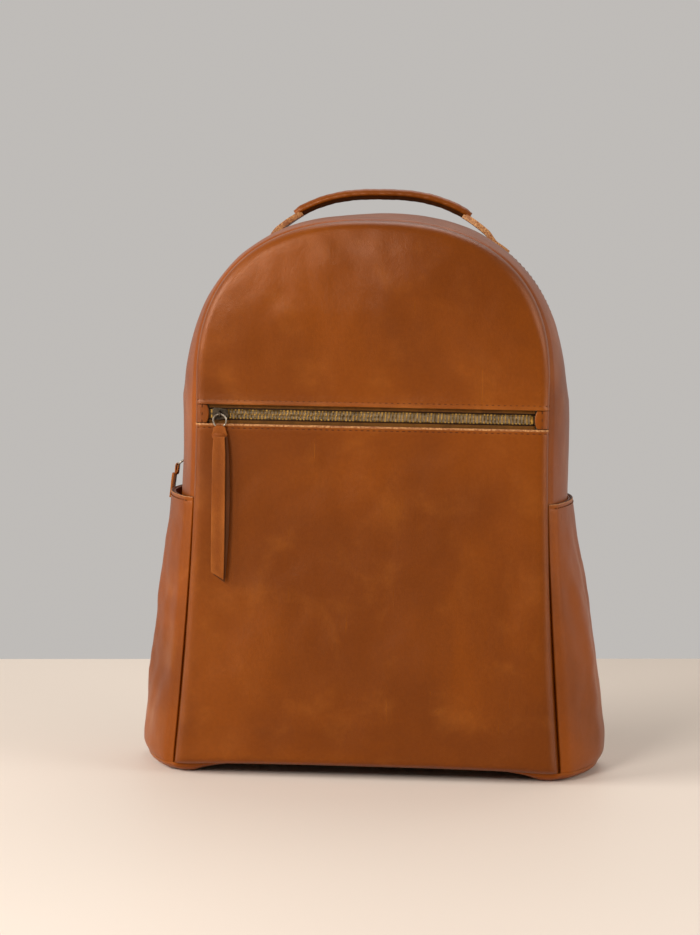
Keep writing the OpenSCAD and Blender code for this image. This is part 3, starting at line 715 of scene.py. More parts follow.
def object_place(tree, shift=None):
    """The place on the object, moved by a shift."""
    place = add_node(tree, "ShaderNodeTexCoord").outputs["Object"]
    if shift is None:
        return place
    return add_node(tree, "ShaderNodeVectorMath", {0: place, 1: shift}, operation="ADD").outputs[0]


def sums(tree, operation, first, second):
    """One arithmetic step."""
    node = add_node(tree, "ShaderNodeMath", {0: first, 1: second}, operation=operation)
    return node.outputs[0]


def leather_tone_group():
    """Patchy colour of oiled leather: dark pools, pulled-up pale areas, scratches and worn edges."""
    tree, source, sink = node_group(
        "Leather tone", "ShaderNodeTree",
        {"Tan": "Color", "Dark": "Color", "Light": "Color", "Shift": "Vector", "Scratch": "Float", "Wear": "Float"},
        {"Colour": "Color", "Pull": "Float"},
    )
    moved = object_place(tree, source["Shift"])
    cloud = speckle(tree, moved, 27, 4, 0.55, 0.3)
    dark = ranged(tree, speckle(tree, moved, 9, 3, 0.5, 0.4), 0.34, 0.64, 0.72, 0.0)
    pull = ranged(tree, cloud, 0.48, 0.80, 0.0, 0.30)
    colour = mixed(tree, dark, source["Tan"], source["Dark"])
    colour = mixed(tree, pull, colour, source["Light"])
    speck = ranged(tree, speckle(tree, moved, 420, 4, 0.6), 0.30, 0.70, 0.95, 1.05)
    colour = mixed(tree, 1.0, colour, grey(tree, speck), "MULTIPLY")
    masks = []
    for turn, stretch in (((0.4, 0.9, 0.3), (520, 12, 24)), ((1.2, 0.3, 2.0), (14, 610, 20))):
        masks.append(ranged(tree, streaks(tree, moved, turn, stretch, 1.5, 0.4), 0.72, 0.80))
    gate = ranged(tree, cloud, 0.42, 0.60)
    scratch = sums(tree, "MULTIPLY", sums(tree, "MAXIMUM", masks[0], masks[1]), gate)
    colour = mixed(tree, sums(tree, "MULTIPLY", scratch, source["Scratch"]), colour, source["Light"])
    edge = add_node(tree, "ShaderNodeAttribute", attribute_name="edge").outputs["Fac"]
    rub = sums(tree, "MULTIPLY", sums(tree, "POWER", edge, 2.2), ranged(tree, cloud, 0.30, 0.66))
    colour = mixed(tree, sums(tree, "MULTIPLY", rub, source["Wear"]), colour, source["Light"])
    tree.links.new(colour, sink["Colour"])
    tree.links.new(sums(tree, "MAXIMUM", pull, scratch), sink["Pull"])
    return tree


def leather_grain_group():
    """Surface of smooth leather: fine pebbles, pores and shallow creases, as a normal."""
    inputs = {"Shift": "Vector", "Depth": "Float"}
    tree, source, sink = node_group("Leather grain", "ShaderNodeTree", inputs, {"Normal": "Vector"})
    moved = object_place(tree, source["Shift"])
    warp = add_node(tree, "ShaderNodeTexNoise", {"Vector": moved, "Scale": 300, "Detail": 3}).outputs["Color"]
    bent = add_node(tree, "ShaderNodeVectorMath", {0: warp, 1: (1.1 * MM,) * 3, 2: moved}, operation="MULTIPLY_ADD")
    values = {"Vector": bent.outputs[0], "Scale": 1050}
    pebble = add_node(tree, "ShaderNodeTexVoronoi", values, feature="DISTANCE_TO_EDGE")
    rounded = ranged(tree, pebble.outputs["Distance"], 0.0, 0.30)
    crease = speckle(tree, moved, 95, 6, 0.62, 1.1)
    height = sums(tree, "ADD", sums(tree, "MULTIPLY", rounded, 0.30), sums(tree, "MULTIPLY", crease, 1.25))
    tree.links.new(bumps(tree, height, source["Depth"], 0.6 * MM), sink["Normal"])
    return tree


def weave_group():
    """Plain weave on UVs in metres: thread colour and normal."""
    inputs = {"Colour": "Color", "Threads": "Vector", "Depth": "Float"}
    outputs = {"Colour": "Color", "Normal": "Vector"}
    tree, source, sink = node_group("Weave", "ShaderNodeTree", inputs, outputs)
    uv = add_node(tree, "ShaderNodeTexCoord").outputs["UV"]
    scaled = add_node(tree, "ShaderNodeVectorMath", {0: uv, 1: source["Threads"]}, operation="MULTIPLY").outputs[0]
    parts = add_node(tree, "ShaderNodeSeparateXYZ", {0: scaled})
    waves = [sums(tree, "SINE", sums(tree, "MULTIPLY", parts.outputs[i], math.pi), 0.0) for i in (0, 1)]
    height = ranged(tree, sums(tree, "MULTIPLY", waves[0], waves[1]), -1, 1)
    place = object_place(tree)
    slub = ranged(tree, speckle(tree, place, 240, 4), 0.3, 0.7, 0.8, 1.15)
    soil = ranged(tree, speckle(tree, place, 18, 3), 0.35, 0.65, 0.86, 1.06)
    light = sums(tree, "MULTIPLY", sums(tree, "MULTIPLY", ranged(tree, height, 0, 1, 0.55, 1.12), slub), soil)
    tree.links.new(mixed(tree, 1.0, source["Colour"], grey(tree, light), "MULTIPLY"), sink["Colour"])
    tree.links.new(bumps(tree, height, source["Depth"], 0.4 * MM), sink["Normal"])
    return tree


def patina_group():
    """Aged metal: rubbed bright on its high places and dark in between, with fine scratches."""
    outputs = {"Colour": "Color", "Roughness": "Float", "Normal": "Vector"}
    inputs = {"Metal": "Color", "Tarnish": "Color"}
    tree, source, sink = node_group("Patina", "ShaderNodeTree", inputs, outputs)
    place = object_place(tree)
    cloud = speckle(tree, place, 260, 5, 0.6)
    hair = streaks(tree, place, (0.3, 0.2, 0.7), (2600, 160, 300), 2)
    worn = ranged(tree, cloud, 0.38, 0.64)
    tree.links.new(mixed(tree, worn, source["Tarnish"], source["Metal"]), sink["Colour"])
    tree.links.new(ranged(tree, cloud, 0.3, 0.7, 0.48, 0.28), sink["Roughness"])
    tree.links.new(bumps(tree, hair, 0.12, 0.2 * MM), sink["Normal"])
    return tree


GROUPS = {
    "Leather tone": leather_tone_group,
    "Leather grain": leather_grain_group,
    "Weave": weave_group,
    "Patina": patina_group,
}


def use_group(tree, name, values):
    """One of the shared shader groups, placed in a material."""
    group = bpy.data.node_groups.get(name) or GROUPS[name]()
    return add_node(tree, "ShaderNodeGroup", values, node_tree=group)


def new_material(name):
    """A new material and its tree."""
    mat = bpy.data.materials.new(f"bag {name}")
    mat.use_nodes = True
    return mat, mat.node_tree


def shader_of(mat):
    """Inputs of a material's shader."""
    return mat.node_tree.nodes["Principled BSDF"].inputs


def shade(mat, base, normal, roughness, shine=0.5, tint=(1, 1, 1, 1)):
    """Feeds a material's shader; the shine and its tint are the same all over."""
    inputs = shader_of(mat)
    for socket, value in (("Base Color", base), ("Normal", normal), ("Roughness", roughness)):
        if value is not None:
            feed(mat.node_tree, inputs[socket], value)
    inputs["Specular IOR Level"].default_value = shine
    inputs["Specular Tint"].default_value = tint
    return mat


def colour(name):
    """One of the finishes' colours with its alpha."""
    return (*getattr(settings("colours"), name), 1.0)


def leather(name, shift, gloss, tones=("tan", "dark", "light"), scratch=0.5, wear=0.5, depth=0.3, shine=0.42):
    """Oiled leather; gloss is its roughness where it is plain, and pulled-up places shine a little more."""
    mat, tree = new_material(name)
    tone = use_group(tree, "Leather tone", {
        **{key: colour(tone) for key, tone in zip(("Tan", "Dark", "Light"), tones)},
        "Shift": shift, "Scratch": scratch, "Wear": wear,
    })
    grain = use_group(tree, "Leather grain", {"Shift": shift, "Depth": depth})
    rough = ranged(tree, tone.outputs["Pull"], 0.0, 0.6, gloss + 0.05, gloss - 0.07)
    return shade(mat, tone.outputs["Colour"], grain.outputs["Normal"], rough, shine, colour("sheen"))


def cut_edge(name):
    """Raw fibre of a cut leather edge."""
    mat, tree = new_material(name)
    place = object_place(tree)
    fibre = speckle(tree, place, 900, 5, 0.7)
    tint = mixed(tree, ranged(tree, fibre, 0.35, 0.65), colour("tan"), colour("edge"))
    tint = mixed(tree, ranged(tree, speckle(tree, place, 90, 3), 0.45, 0.70, 0.0, 0.6), tint, colour("tan"))
    return shade(mat, tint, bumps(tree, fibre, 0.5, 0.3 * MM), 0.66)


def thread(name):
    """Twisted polyester thread."""
    mat, tree = new_material(name)
    place = object_place(tree)
    ply = streaks(tree, place, (0.6, 0.6, 0.6), (3200, 900, 900), 2)
    tint = mixed(tree, ranged(tree, ply, 0.35, 0.65, 0.0, 0.5), colour("thread"), colour("dark"))
    tint = mixed(tree, ranged(tree, speckle(tree, place, 70), 0.4, 0.7, 0.0, 0.4), tint, colour("tan"))
    return shade(mat, tint, bumps(tree, ply, 0.6, 0.2 * MM), 0.7, 0.15)


def woven(name, tint, threads, depth, rough):
    """A woven cloth or tape; threads is how many of them lie in a metre, each way."""
    mat, tree = new_material(name)
    cloth = use_group(tree, "Weave", {"Colour": colour(tint), "Threads": (*threads, 1), "Depth": depth}).outputs
    return shade(mat, cloth["Colour"], cloth["Normal"], rough, 0.2)


def aged_metal(name, tint, tarnish):
    """An aged metal."""
    mat, tree = new_material(name)
    patina = use_group(tree, "Patina", {"Metal": colour(tint), "Tarnish": tarnish}).outputs
    shade(mat, patina["Colour"], patina["Normal"], patina["Roughness"], tint=colour(tint))
    shader_of(mat)["Metallic"].default_value = 1.0
    return mat


def fibre_board(name):
    """Pressed fibre board of the base."""
    mat, tree = new_material(name)
    flock = speckle(tree, object_place(tree), 320, 6, 0.7)
    tint = mixed(tree, ranged(tree, flock, 0.35, 0.65), (0.12, 0.08, 0.05, 1), (0.24, 0.17, 0.11, 1))
    return shade(mat, tint, bumps(tree, flock, 0.4, 0.4 * MM), 0.8)


FINISHES = {
    "leather": (leather, {"shift": (0.31, 0.0, 0.12), "gloss": 0.29, "scratch": 0.3, "depth": 0.22}),
    "side leather": (leather, {
        "shift": (1.7, 0.4, 0.2), "gloss": 0.33, "tones": ("side", "dark", "light"),
        "scratch": 0.35, "depth": 0.24, "shine": 0.30,
    }),
    "pull leather": (leather, {"shift": (3.1, 2.2, 0.7), "gloss": 0.50, "wear": 0.7, "depth": 0.45}),
    # Dark leather that stands for shade: painted shade on the pulls' rear layers, the seam grooves, the base and the
    # grip's underside.
    "pull back": (leather, {
        "shift": (4.0, 0.6, 1.9), "gloss": 0.55, "tones": ("back", "back", "dark"), "wear": 0.2, "depth": 0.45,
    }),
    "strap leather": (leather, {"shift": (5.3, 1.1, 2.4), "gloss": 0.46, "wear": 0.6}),
    "cut edge": (cut_edge, {}),
    "thread": (thread, {}),
    "lining": (woven, {"tint": "lining", "threads": (1500, 1500), "depth": 0.35, "rough": 0.85}),
    "zip tape": (woven, {"tint": "tape", "threads": (1700, 1100), "depth": 0.6, "rough": 0.72}),
    # Painted shade on the tape near the teeth.
    "dark tape": (woven, {"tint": "tape_dark", "threads": (1700, 1100), "depth": 0.6, "rough": 0.8}),
    "webbing": (woven, {"tint": "webbing", "threads": (900, 620), "depth": 0.8, "rough": 0.70}),
    "zip brass": (aged_metal, {"tint": "brass", "tarnish": (0.09, 0.045, 0.008, 1)}),
    "antique metal": (aged_metal, {"tint": "metal", "tarnish": (0.030, 0.022, 0.016, 1)}),
    "ring metal": (aged_metal, {"tint": "ring", "tarnish": (0.10, 0.075, 0.05, 1)}),
    "fibre board": (fibre_board, {}),
}


def material(finish):
    """A finish by its name, made the first time it is asked for."""
    maker, values = FINISHES[finish]
    return bpy.data.materials.get(f"bag {finish}") or maker(finish, **values)


def row_tree(name, inputs, piece, turned):
    """A geometry tree that sets a piece along each line of a mesh, at an even pitch and in one material."""
    sockets = {"Geometry": "Geometry", "Pitch": "Float", **inputs, "Material": "Material"}
    tree, source, sink = node_group(name, "GeometryNodeTree", sockets, {"Geometry": "Geometry"})

    def step(kind, values=None, output=0, **attributes):
        return add_node(tree, kind, values, **attributes).outputs[output]

    line = step("GeometryNodeMeshToCurve", {"Mesh": source["Geometry"]})
    even = step("GeometryNodeResampleCurve", {"Curve": line, "Length": source["Pitch"]}, mode="LENGTH")
    turn = turned(step, step("GeometryNodeInputTangent"))
    values = {"Points": even, "Instance": piece(step, source), "Rotation": turn}
    solid = step("GeometryNodeRealizeInstances", {"Geometry": step("GeometryNodeInstanceOnPoints", values)})
    done = step("GeometryNodeSetMaterial", {"Geometry": solid, "Material": source["Material"]})
    tree.links.new(done, sink["Geometry"])
    return tree


def stitch_tree():
    """Lays a row of stitches along each line of a mesh."""
    def stitch(step, source):
        bead = step("GeometryNodeMeshUVSphere", {"Segments": 8, "Rings": 6, "Radius": 0.5})
        size = step("ShaderNodeCombineXYZ", {0: source["Thread"], 1: source["Thread"], 2: source["Length"]})
        return step("GeometryNodeTransform", {"Geometry": bead, "Scale": size})

    def turned(step, along):
        return step("FunctionNodeAlignRotationToVector", {"Vector": along}, axis="Z")

    return row_tree("Stitch rows", {"Length": "Float", "Thread": "Float"}, stitch, turned)


def tooth_tree():
    """Sets zip teeth along each line of a mesh, facing the line's outward vectors."""
    def tooth(step, source):
        return step("GeometryNodeObjectInfo", {"Object": source["Tooth"]}, "Geometry")

    def turned(step, along):
        outward = step("GeometryNodeInputNamedAttribute", {"Name": "outward"}, data_type="FLOAT_VECTOR")
        face = step("FunctionNodeAlignRotationToVector", {"Vector": outward}, axis="Z")
        values = {"Rotation": face, "Vector": along}
        return step("FunctionNodeAlignRotationToVector", values, axis="X", pivot_axis="Z")

    return row_tree("Zip teeth", {"Tooth": "Object"}, tooth, turned)


TREES = {"Stitch rows": stitch_tree, "Zip teeth": tooth_tree}


def grown(name, lines, tree_name, values, outward=None):
    """Runs a geometry tree along lines of points and keeps the result as plain mesh."""
    tree = bpy.data.node_groups.get(tree_name) or TREES[tree_name]()
    points, edges, start = [], [], 0
    for line in lines:
        points.extend(np.asarray(line, float).tolist())
        edges.extend((start + i, start + i + 1) for i in range(len(line) - 1))
        start += len(line)
    mesh = bpy.data.meshes.new(name)
    mesh.from_pydata(points, edges, [])
    if outward is not None:
        vectors = np.concatenate([np.asarray(v, float) for v in outward]).astype(np.float32)
        mesh.attributes.new("outward", "FLOAT_VECTOR", "POINT").data.foreach_set("vector", vectors.ravel())
    obj = new_object(name, mesh)
    modifier = obj.modifiers.new(tree_name, "NODES")
    modifier.node_group = tree
    for item in tree.interface.items_tree:
        if item.item_type == "SOCKET" and item.in_out == "INPUT" and item.name in values:
            modifier[item.identifier] = values[item.name]
    settle(obj)
    if not len(obj.data.polygons):
        raise RuntimeError(f"{name} came out empty")
    obj.data.polygons.foreach_set("use_smooth", np.ones(len(obj.data.polygons), bool))
    return obj


def stitch_rows(name, rows, body):
    """Rows of stitches that ride on one body."""
    sizes = settings("stitching")
    values = {"Pitch": sizes.pitch, "Length": sizes.stitch_l, "Thread": sizes.thread_d}
    values["Material"] = material("thread")
    return dress(grown(name, rows, "Stitch rows", values), body, "leather")


class BAG_OT_front(bpy.types.Operator):
    """Leather of the front: the arched panel above the zip and the panel below it"""

    bl_idname = "bag.front"
    bl_label = "Front panels"

    def execute(self, context):
        body, zips = settings("body"), settings("zips")
        q = even_stations(body.arch_z, 260)
        rise = body.top_z - zips.window_high
        share = spaced(rise, 2.4 * MM) / rise
        x, z = rim(q)
        heights = zips.window_high + (z[None] - zips.window_high) * share[:, None]
        arch = face_point(x, heights)
        arch[..., 1] -= 0.9 * MM * np.exp(-((heights - zips.window_high) / (4 * MM)) ** 2)
        # seam="lrb": a thin band along the arch and side seams is painted dark as shade in the seam groove.
        upper = leather_sheet(
            "front_upper_leather", arch, "leather", borders="t", stitched="t", dent=body.dent, seed=2, seam="lrb"
        )
        dress(upper, "flap", "leather", "front_upper_panel")

        height = zips.window_low - body.seam_z
        z = body.seam_z + spaced(height, SHEET_STEP)
        across = spaced(2.0, 18 * MM, (0, 0.6, 2, 5, 9, 14, 20, 30, 44, 62, 84)) - 1
        x = across[None] * half_w(z)[:, None]
        heights = np.broadcast_to(z[:, None], x.shape)
        sheet = face_point(x, heights)
        sheet[..., 1] -= 0.5 * MM * np.exp(-((zips.window_low - heights) / (5 * MM)) ** 2)
        sheet[..., 2] += base_lift(x, body.front_y, FOOT_LIFT) * (1 - smooth01((heights - body.seam_z) / (46 * MM)))
        # seam="lr": the side seams get the same band of painted shade.
        lower = leather_sheet(
            "front_lower_leather", sheet, "leather", borders="b", stitched="b", dent=body.dent, seed=5,
            raw="b", seam="lr",
        )
        low, high = (0, body.face_y, body.fold_z - 12 * MM), (0, body.face_y, body.fold_z + 12 * MM)
        drape(lower, ("shell", "flap"), "leather", low, high, "front_lower_panel", "front_middle_panel")
        return {"FINISHED"}


def gusset_sheet(name, q, low_y, high_y, dent, seed, stitched=""):
    """A band of the gusset between two depths; dent is its share of the leather's."""
    y = low_y + spaced(high_y - low_y, SHEET_STEP)
    points = gusset_point(q[None], y[:, None], 1.6 * MM * (1 - clear_of_seam(y))[:, None])
    dent = settings("body").dent * dent
    return leather_sheet(name, points, "side leather", borders="b", stitched=stitched, dent=dent, seed=seed)


class BAG_OT_gusset(bpy.types.Operator):
    """Leather band round the sides and the top, before and behind the main zip"""

    bl_idname = "bag.gusset"
    bl_label = "Gusset"

    def execute(self, context):
        body, seam_y, corner_z = settings("body"), front_seam(), zip_corner()
        near_y, far_y = zip_edges()
        q = even_stations(corner_z, 330)
        front = gusset_sheet("gusset_front_leather", q, seam_y, near_y, 0.7, 3, "b")
        start = (0, near_y, body.fold_z - 24 * MM)
        end = (0, near_y, body.fold_z + 30 * MM)
        drape(
            front, ("shell", "flap"), "side_leather", start, end,
            "front_gusset", "gusset_corner_left", "gusset_corner_right",
        )
        rear = gusset_sheet("gusset_rear_leather", q, far_y, body.back_y, 0.4, 4, "t")
        dress(rear, "shell", "side_leather", "rear_gusset")
        for side, name in SIDES:
            q_side = np.sort(side_station(side, np.linspace(body.seam_z, corner_z, 80)))
            sheet = gusset_sheet(f"gusset_{name}_leather", q_side, seam_y, body.back_y, 0.4, 6 + side)
            dress(sheet, "shell", "side_leather", f"side_gusset_{name}")
        return {"FINISHED"}


class BAG_OT_pockets(bpy.types.Operator):
    """Slip pockets on both sides, with folded and stitched hems"""

    bl_idname = "bag.pockets"
    bl_label = "Side pockets"

    def execute(self, context):
        body, pockets, seam_y = settings("body"), settings("pockets"), front_seam()
        share = spaced(1.0, 15 * MM, (0, 3, 8, 13, 16, 19, 24, 32, 44, 60))
        for side, name in SIDES:
            y = seam_y + spaced(body.back_y - seam_y, 2.6 * MM, (0, 0.5, 1.4, 2.4, 3.6, 5.2, 7.4))
            y = y[::side]
            z = body.seam_z + (hem_height(y)[None] - body.seam_z) * share[:, None]
            points = pocket_point(side, z, y, body.leather_t)
            # raw="b" gives the folded hem's top a thin pale band in the cut-edge finish.
            outer = leather_sheet(
                f"pocket_{name}_outer", self.creased(points, side), "side leather", borders="b", stitched="b",
                dent=body.dent * 0.9, seed=11 + side, fold=0.7 * MM, raw="b", size=46 * MM,
            )
            hem_z = hem_height(y)[None] - np.linspace(0.4 * MM, pockets.hem_w, 8)[:, None]
            fold = pocket_point(side, hem_z[::-1], y, -0.15 * MM)
            inner = leather_sheet(f"pocket_{name}_hem", fold, "side leather", 1.2 * MM, borders="")
            dress(joined(f"pocket_{name}_leather", [outer, inner]), "shell", "side_leather", f"side_pocket_{name}")
        return {"FINISHED"}

    @staticmethod
    def creased(points, side):
        """Soft upright folds where the pocket hangs full, fading at the hem, the foot and the seams."""
        body = settings("body")
        v = grid_runs(points)[1]
        along = (points[..., 1] - body.front_y) / (body.back_y - body.front_y)
        height = v / v[-1:]
        fade = np.sin(np.pi * clamp01(height)) ** 0.8 * np.sin(np.pi * clamp01(along)) ** 0.7
        lean = along * 3.1 + 0.55 * height + 0.15 * np.sin(7 * height + side)
        wave = np.sin(2 * np.pi * lean + side) * 0.9 + 0.4 * np.sin(2 * np.pi * (1.9 * lean + 0.8 * height))
        return points + grid_normals(points) * (wave * fade * 1.1 * MM)[..., None]


def foot_edge(side, y):
    """How far the base seam lies from the middle on one side."""
    body = settings("body")
    return np.maximum(side * pocket_point(side, body.seam_z, y, body.leather_t)[:, 0], half_w(body.seam_z))


def base_outline(inset):
    """Plan of the base seam, drawn in by inset, counter-clockwise from the middle of the back."""
    body = settings("body")
    y = np.linspace(body.front_y, body.back_y, 49)
    x, far = foot_edge(1, y), foot_edge(-1, y)
    kx, ky = 1 - inset / x[24], 1 - inset / body.back_y
    back = np.stack([np.linspace(x[-1], 0, 40), np.full(40, body.back_y)], -1)
    front = np.stack([np.linspace(-x[0], x[0], 81), np.full(81, body.front_y)], -1)
    left = np.stack([-far[::-1], y[::-1]], -1)
    right = np.stack([x, y], -1)
    plan = np.concatenate([back[:0:-1] * (-1, 1), left, front[1:-1], right, back[1:]])
    return plan * (kx, ky)


class BAG_OT_base(bpy.types.Operator):
    """Leather base with its turned-up welt, and the board inside it"""

    bl_idname = "bag.base"
    bl_label = "Base"

    def execute(self, context):
        body = settings("body")
        turn = 10 * MM
        rings = []
        for angle in np.radians((0, 14, 30, 48, 60, 70, 80, 90)):
            plan = base_outline(turn * (1 - math.sin(angle)))
            turned = 1 - math.cos(angle)
            foot, seam = (base_lift(plan[:, 0], plan[:, 1], rise) for rise in (BASE_LIFT, FOOT_LIFT))
            rings.append(np.column_stack([plan, foot * (1 - turned) + (seam + body.seam_z) * turned]))
        welt = leather_sheet("base_welt_leather", np.array(rings), "side leather", borders="b")
        dress(welt, "shell", "leather", "base_welt")
        y = np.linspace(body.back_y, body.front_y, 60)
        right, left = (foot_edge(side, y)[:, None] - turn for side in (1, -1))
        y = y * (1 - turn / body.back_y)
        x = np.linspace(0, 1, 110)[None] * (left + right) - left
        y = np.broadcast_to(y[:, None], x.shape)
        # The base panel is in the dark shade leather: painted shade under the lifted base.
        sheet = leather_sheet("base_leather", grid_of(x, y, base_lift(x, y)), "pull back")
        dress(sheet, "shell", "leather", "base_panel")
        low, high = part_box("base_board")
        board = grid_of(x * 0.97, y * 0.92, base_lift(x, y) + low.z)
        sheet = leather_sheet("base_board_fibre", board, "fibre board", high.z - low.z, borders="")
        dress(sheet, "shell", "lining", "base_board")
        return {"FINISHED"}


def arched_sheet(foot_z, inset, step, count=200):
    """Heights and widths of a panel that fills the bag's outline from a height up, left to right and upwards."""
    body = settings("body")
    x, z = rim(even_stations(body.arch_z, count), -inset)
    share = spaced(z.max() - foot_z, step) / (z.max() - foot_z)
    heights = foot_z + (z[None] - foot_z) * share[:, None]
    return x[None] * (half_w(heights) - inset) / (half_w(body.arch_z) - inset), heights


class BAG_OT_back(bpy.types.Operator):
    """Padded back panel and the yoke that carries the straps"""

    bl_idname = "bag.back"
    bl_label = "Back panel and yoke"

    def execute(self, context):
        body = settings("body")
        x, z = arched_sheet(body.seam_z, 0, 2.8 * MM)
        lobe = np.abs(np.sin(np.pi * clamp01((np.abs(x) + 35 * MM) / (70 * MM) % 1.0))) ** 0.5
        inside = smooth01((z - 40 * MM) / (40 * MM)) * smooth01((318 * MM - z) / (30 * MM))
        inside = inside * smooth01((108 * MM - np.abs(x)) / (12 * MM))
        y = body.back_y + body.leather_t + 2.1 * MM * inside * lobe
        points = grid_of(x, y, z)[:, ::-1]
        back = leather_sheet("back_leather", points, "strap leather", dent=0.35 * MM, seed=21)
        dress(back, "shell", "leather", "back_panel", "back_padding")

        low, inset = node_low("strap_yoke").z, 12 * MM
        x, z = rim(even_stations(body.arch_z, 220), -inset)
        keep = z > low + 2 * MM
        x, z = x[keep], z[keep]
        share = spaced(z.max() - low, SHEET_STEP) / (z.max() - low)
        heights = low + (z[None] - low) * share[:, None]
        face = node_high("strap_yoke").y
        points = grid_of(x, face, heights)[:, ::-1]
        yoke = leather_sheet("yoke_leather", points, "strap leather", stitched="lrtb", seed=22)
        dress(yoke, "shell", "leather", "strap_yoke")
        return {"FINISHED"}


def cloth_sheet(name, points, body, *nodes, thickness=0.8 * MM):
    """A cotton lining piece."""
    obj = leather_sheet(name, points, "lining", thickness, borders="", fold=0.2 * MM, rim_finish="lining")
    return dress(obj, body, "lining", *nodes)


def pouch(name, node, owner, counts, powers, slack, depth, sag=0.0, thickness=0.8 * MM):
    """A cloth pouch in a node's box; slack says where round it the cloth caves in and its mouth sags."""
    low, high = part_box(node)
    middle, half = (low + high) / 2, (high - low) / 2
    turn = np.linspace(0, 2 * np.pi, counts[0])
    across, deep = signed_power(np.cos(turn), powers[0]), signed_power(np.sin(turn), powers[1])
    loose, share = slack(across, deep), np.linspace(0, 1, counts[1])[:, None]
    full = 1 - depth * np.sin(np.pi * share) * loose
    height = low.z + (high.z - low.z) * share - sag * share ** 2 * loose
    points = grid_of(middle.x + half.x * across, middle.y + half.y * deep * full, height)
    return cloth_sheet(name, points, owner, node, thickness=thickness)


class BAG_OT_linings(bpy.types.Operator):
    """Cotton lining of the main compartment, the laptop sleeve and the front pocket's bag"""

    bl_idname = "bag.linings"
    bl_label = "Linings"

    def execute(self, context):
        body, inset, corner_z = settings("body"), 3.2 * MM, zip_corner()
        near_y, far_y = zip_edges()
        front_y, back_y = node_high("flap_lining").y + PLAY, node_low("back_lining").y - PLAY
        for name, z0, low, high, bodies, node in (
            ("lining_gusset_front", body.fold_z, front_y, near_y, "flap", "front_gusset_lining"),
            ("lining_gusset_rear", corner_z, far_y, back_y, "shell", "rear_gusset_lining"),
        ):
            y = np.linspace(low, high, 16)
            points = gusset_point(even_stations(z0 + PLAY, 260)[None], y[:, None], inset)
            cloth_sheet(name, points, bodies, node)
        floor_z = node_high("base_lining").z
        for side, name in SIDES:
            q = np.sort(side_station(side, np.linspace(floor_z + PLAY, corner_z, 60)))
            y = np.linspace(front_y, back_y, 40)
            cloth_sheet(f"lining_{name}", gusset_point(q[None], y[:, None], inset), "shell", f"side_lining_{name}")
        self.flat_linings(body)
        self.sleeve()
        self.pocket_bag()
        return {"FINISHED"}

    @staticmethod
    def flat_linings(body):
        """Front, back and floor of the lining."""
        x, z = arched_sheet(body.fold_z + 0.2 * MM, 1.5 * MM, 4 * MM, 160)
        face = node_low("flap_lining").y
        cloth_sheet("lining_flap", grid_of(x, face, z), "flap", "flap_lining")
        z = np.linspace(node_low("front_lower_lining").z, body.fold_z - 0.2 * MM, 60)[:, None]
        x = np.linspace(-1, 1, 90)[None] * (half_w(z) - 1.5 * MM)
        z = np.broadcast_to(z, x.shape)
        face = node_low("front_lower_lining").y
        cloth_sheet("lining_front", grid_of(x, face, z), "shell", "front_lower_lining")
        x, z = arched_sheet(node_low("back_lining").z, 7.5 * MM, 4 * MM, 160)
        face = node_high("back_lining").y
        points = grid_of(x, face, z)[:, ::-1]
        cloth_sheet("lining_back", points, "shell", "back_lining")
        low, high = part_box("base_lining")
        x, y = np.meshgrid(np.linspace(-0.5, 0.5, 90) * (high.x - low.x) * 0.90, np.linspace(high.y, low.y, 50))
        wave = 0.25 * MM * np.sin(x * 90) * np.sin(y * 120)
        points = grid_of(x, y, low.z + base_lift(x, y) + wave * 0.4)
        cloth_sheet("lining_floor", points, "shell", "base_lining")

    @staticmethod
    def sleeve():
        """Laptop sleeve: a slack open pouch whose mouth sags a little."""
        pouch(
            "laptop_sleeve_cloth", "laptop_sleeve", "shell", (160, 60), (0.16, 0.16),
            lambda across, deep: (1 - across ** 2) * (deep < 0), 0.14, sag=5 * MM,
        )

    @staticmethod
    def pocket_bag():
        """Bag of the front pocket: slack cotton below the fold, its throat above it."""
        for name, node, owner, depth in (
            ("front_pocket_cloth", "front_pocket_bag", "shell", 0.35),
            ("front_throat_cloth", "front_pocket_throat", "flap", 0.0),
        ):
            pouch(
                name, node, owner, (140, 40), (0.12, 0.3),
                lambda across, deep: 0.6 + 0.4 * np.cos(6 * across), depth, thickness=0.5 * MM,
            )


def tooth_shape():
    """One zip tooth: a clamped foot and a head with a nib; X along the chain, Y towards the head, Z outwards."""
    zips = settings("zips")
    long, wide, thick = zips.tooth_l, zips.tooth_w, zips.tooth_t
    builder = bmesh.new()
    add_block(builder, (-wide * 0.48, -long / 2, -thick / 2), (wide * 0.48, -long * 0.22, thick / 2))
    add_block(builder, (-wide * 0.26, -long * 0.30, -thick * 0.40), (wide * 0.26, long / 2, -thick * 0.12))
    add_block(builder, (-wide * 0.28, long * 0.22, -thick * 0.40), (wide * 0.28, long * 0.46, thick * 0.30))
    return rounded_solid("tooth_shape", builder, "zip brass", 0.18 * MM, 2)


def trimmed(line, start, step=0.5 * MM):
    """A line of points without its first stretch, at even steps."""
    run = np.concatenate([[0], np.cumsum(np.linalg.norm(np.diff(line, axis=0), axis=1))])
    places = np.arange(start, run[-1], step)
    return np.stack([np.interp(places, run, line[:, i]) for i in range(3)], -1)


def tooth_row(name, line, outward):
    """Teeth along a line; outward is one direction, or one for each of its points."""
    tooth = tooth_shape()
    values = {"Pitch": settings("zips").tooth_pitch, "Tooth": tooth, "Material": material("zip brass")}
    row = grown(name, [line], "Zip teeth", values, [np.broadcast_to(outward, np.shape(line))])
    discard(tooth)
    return row


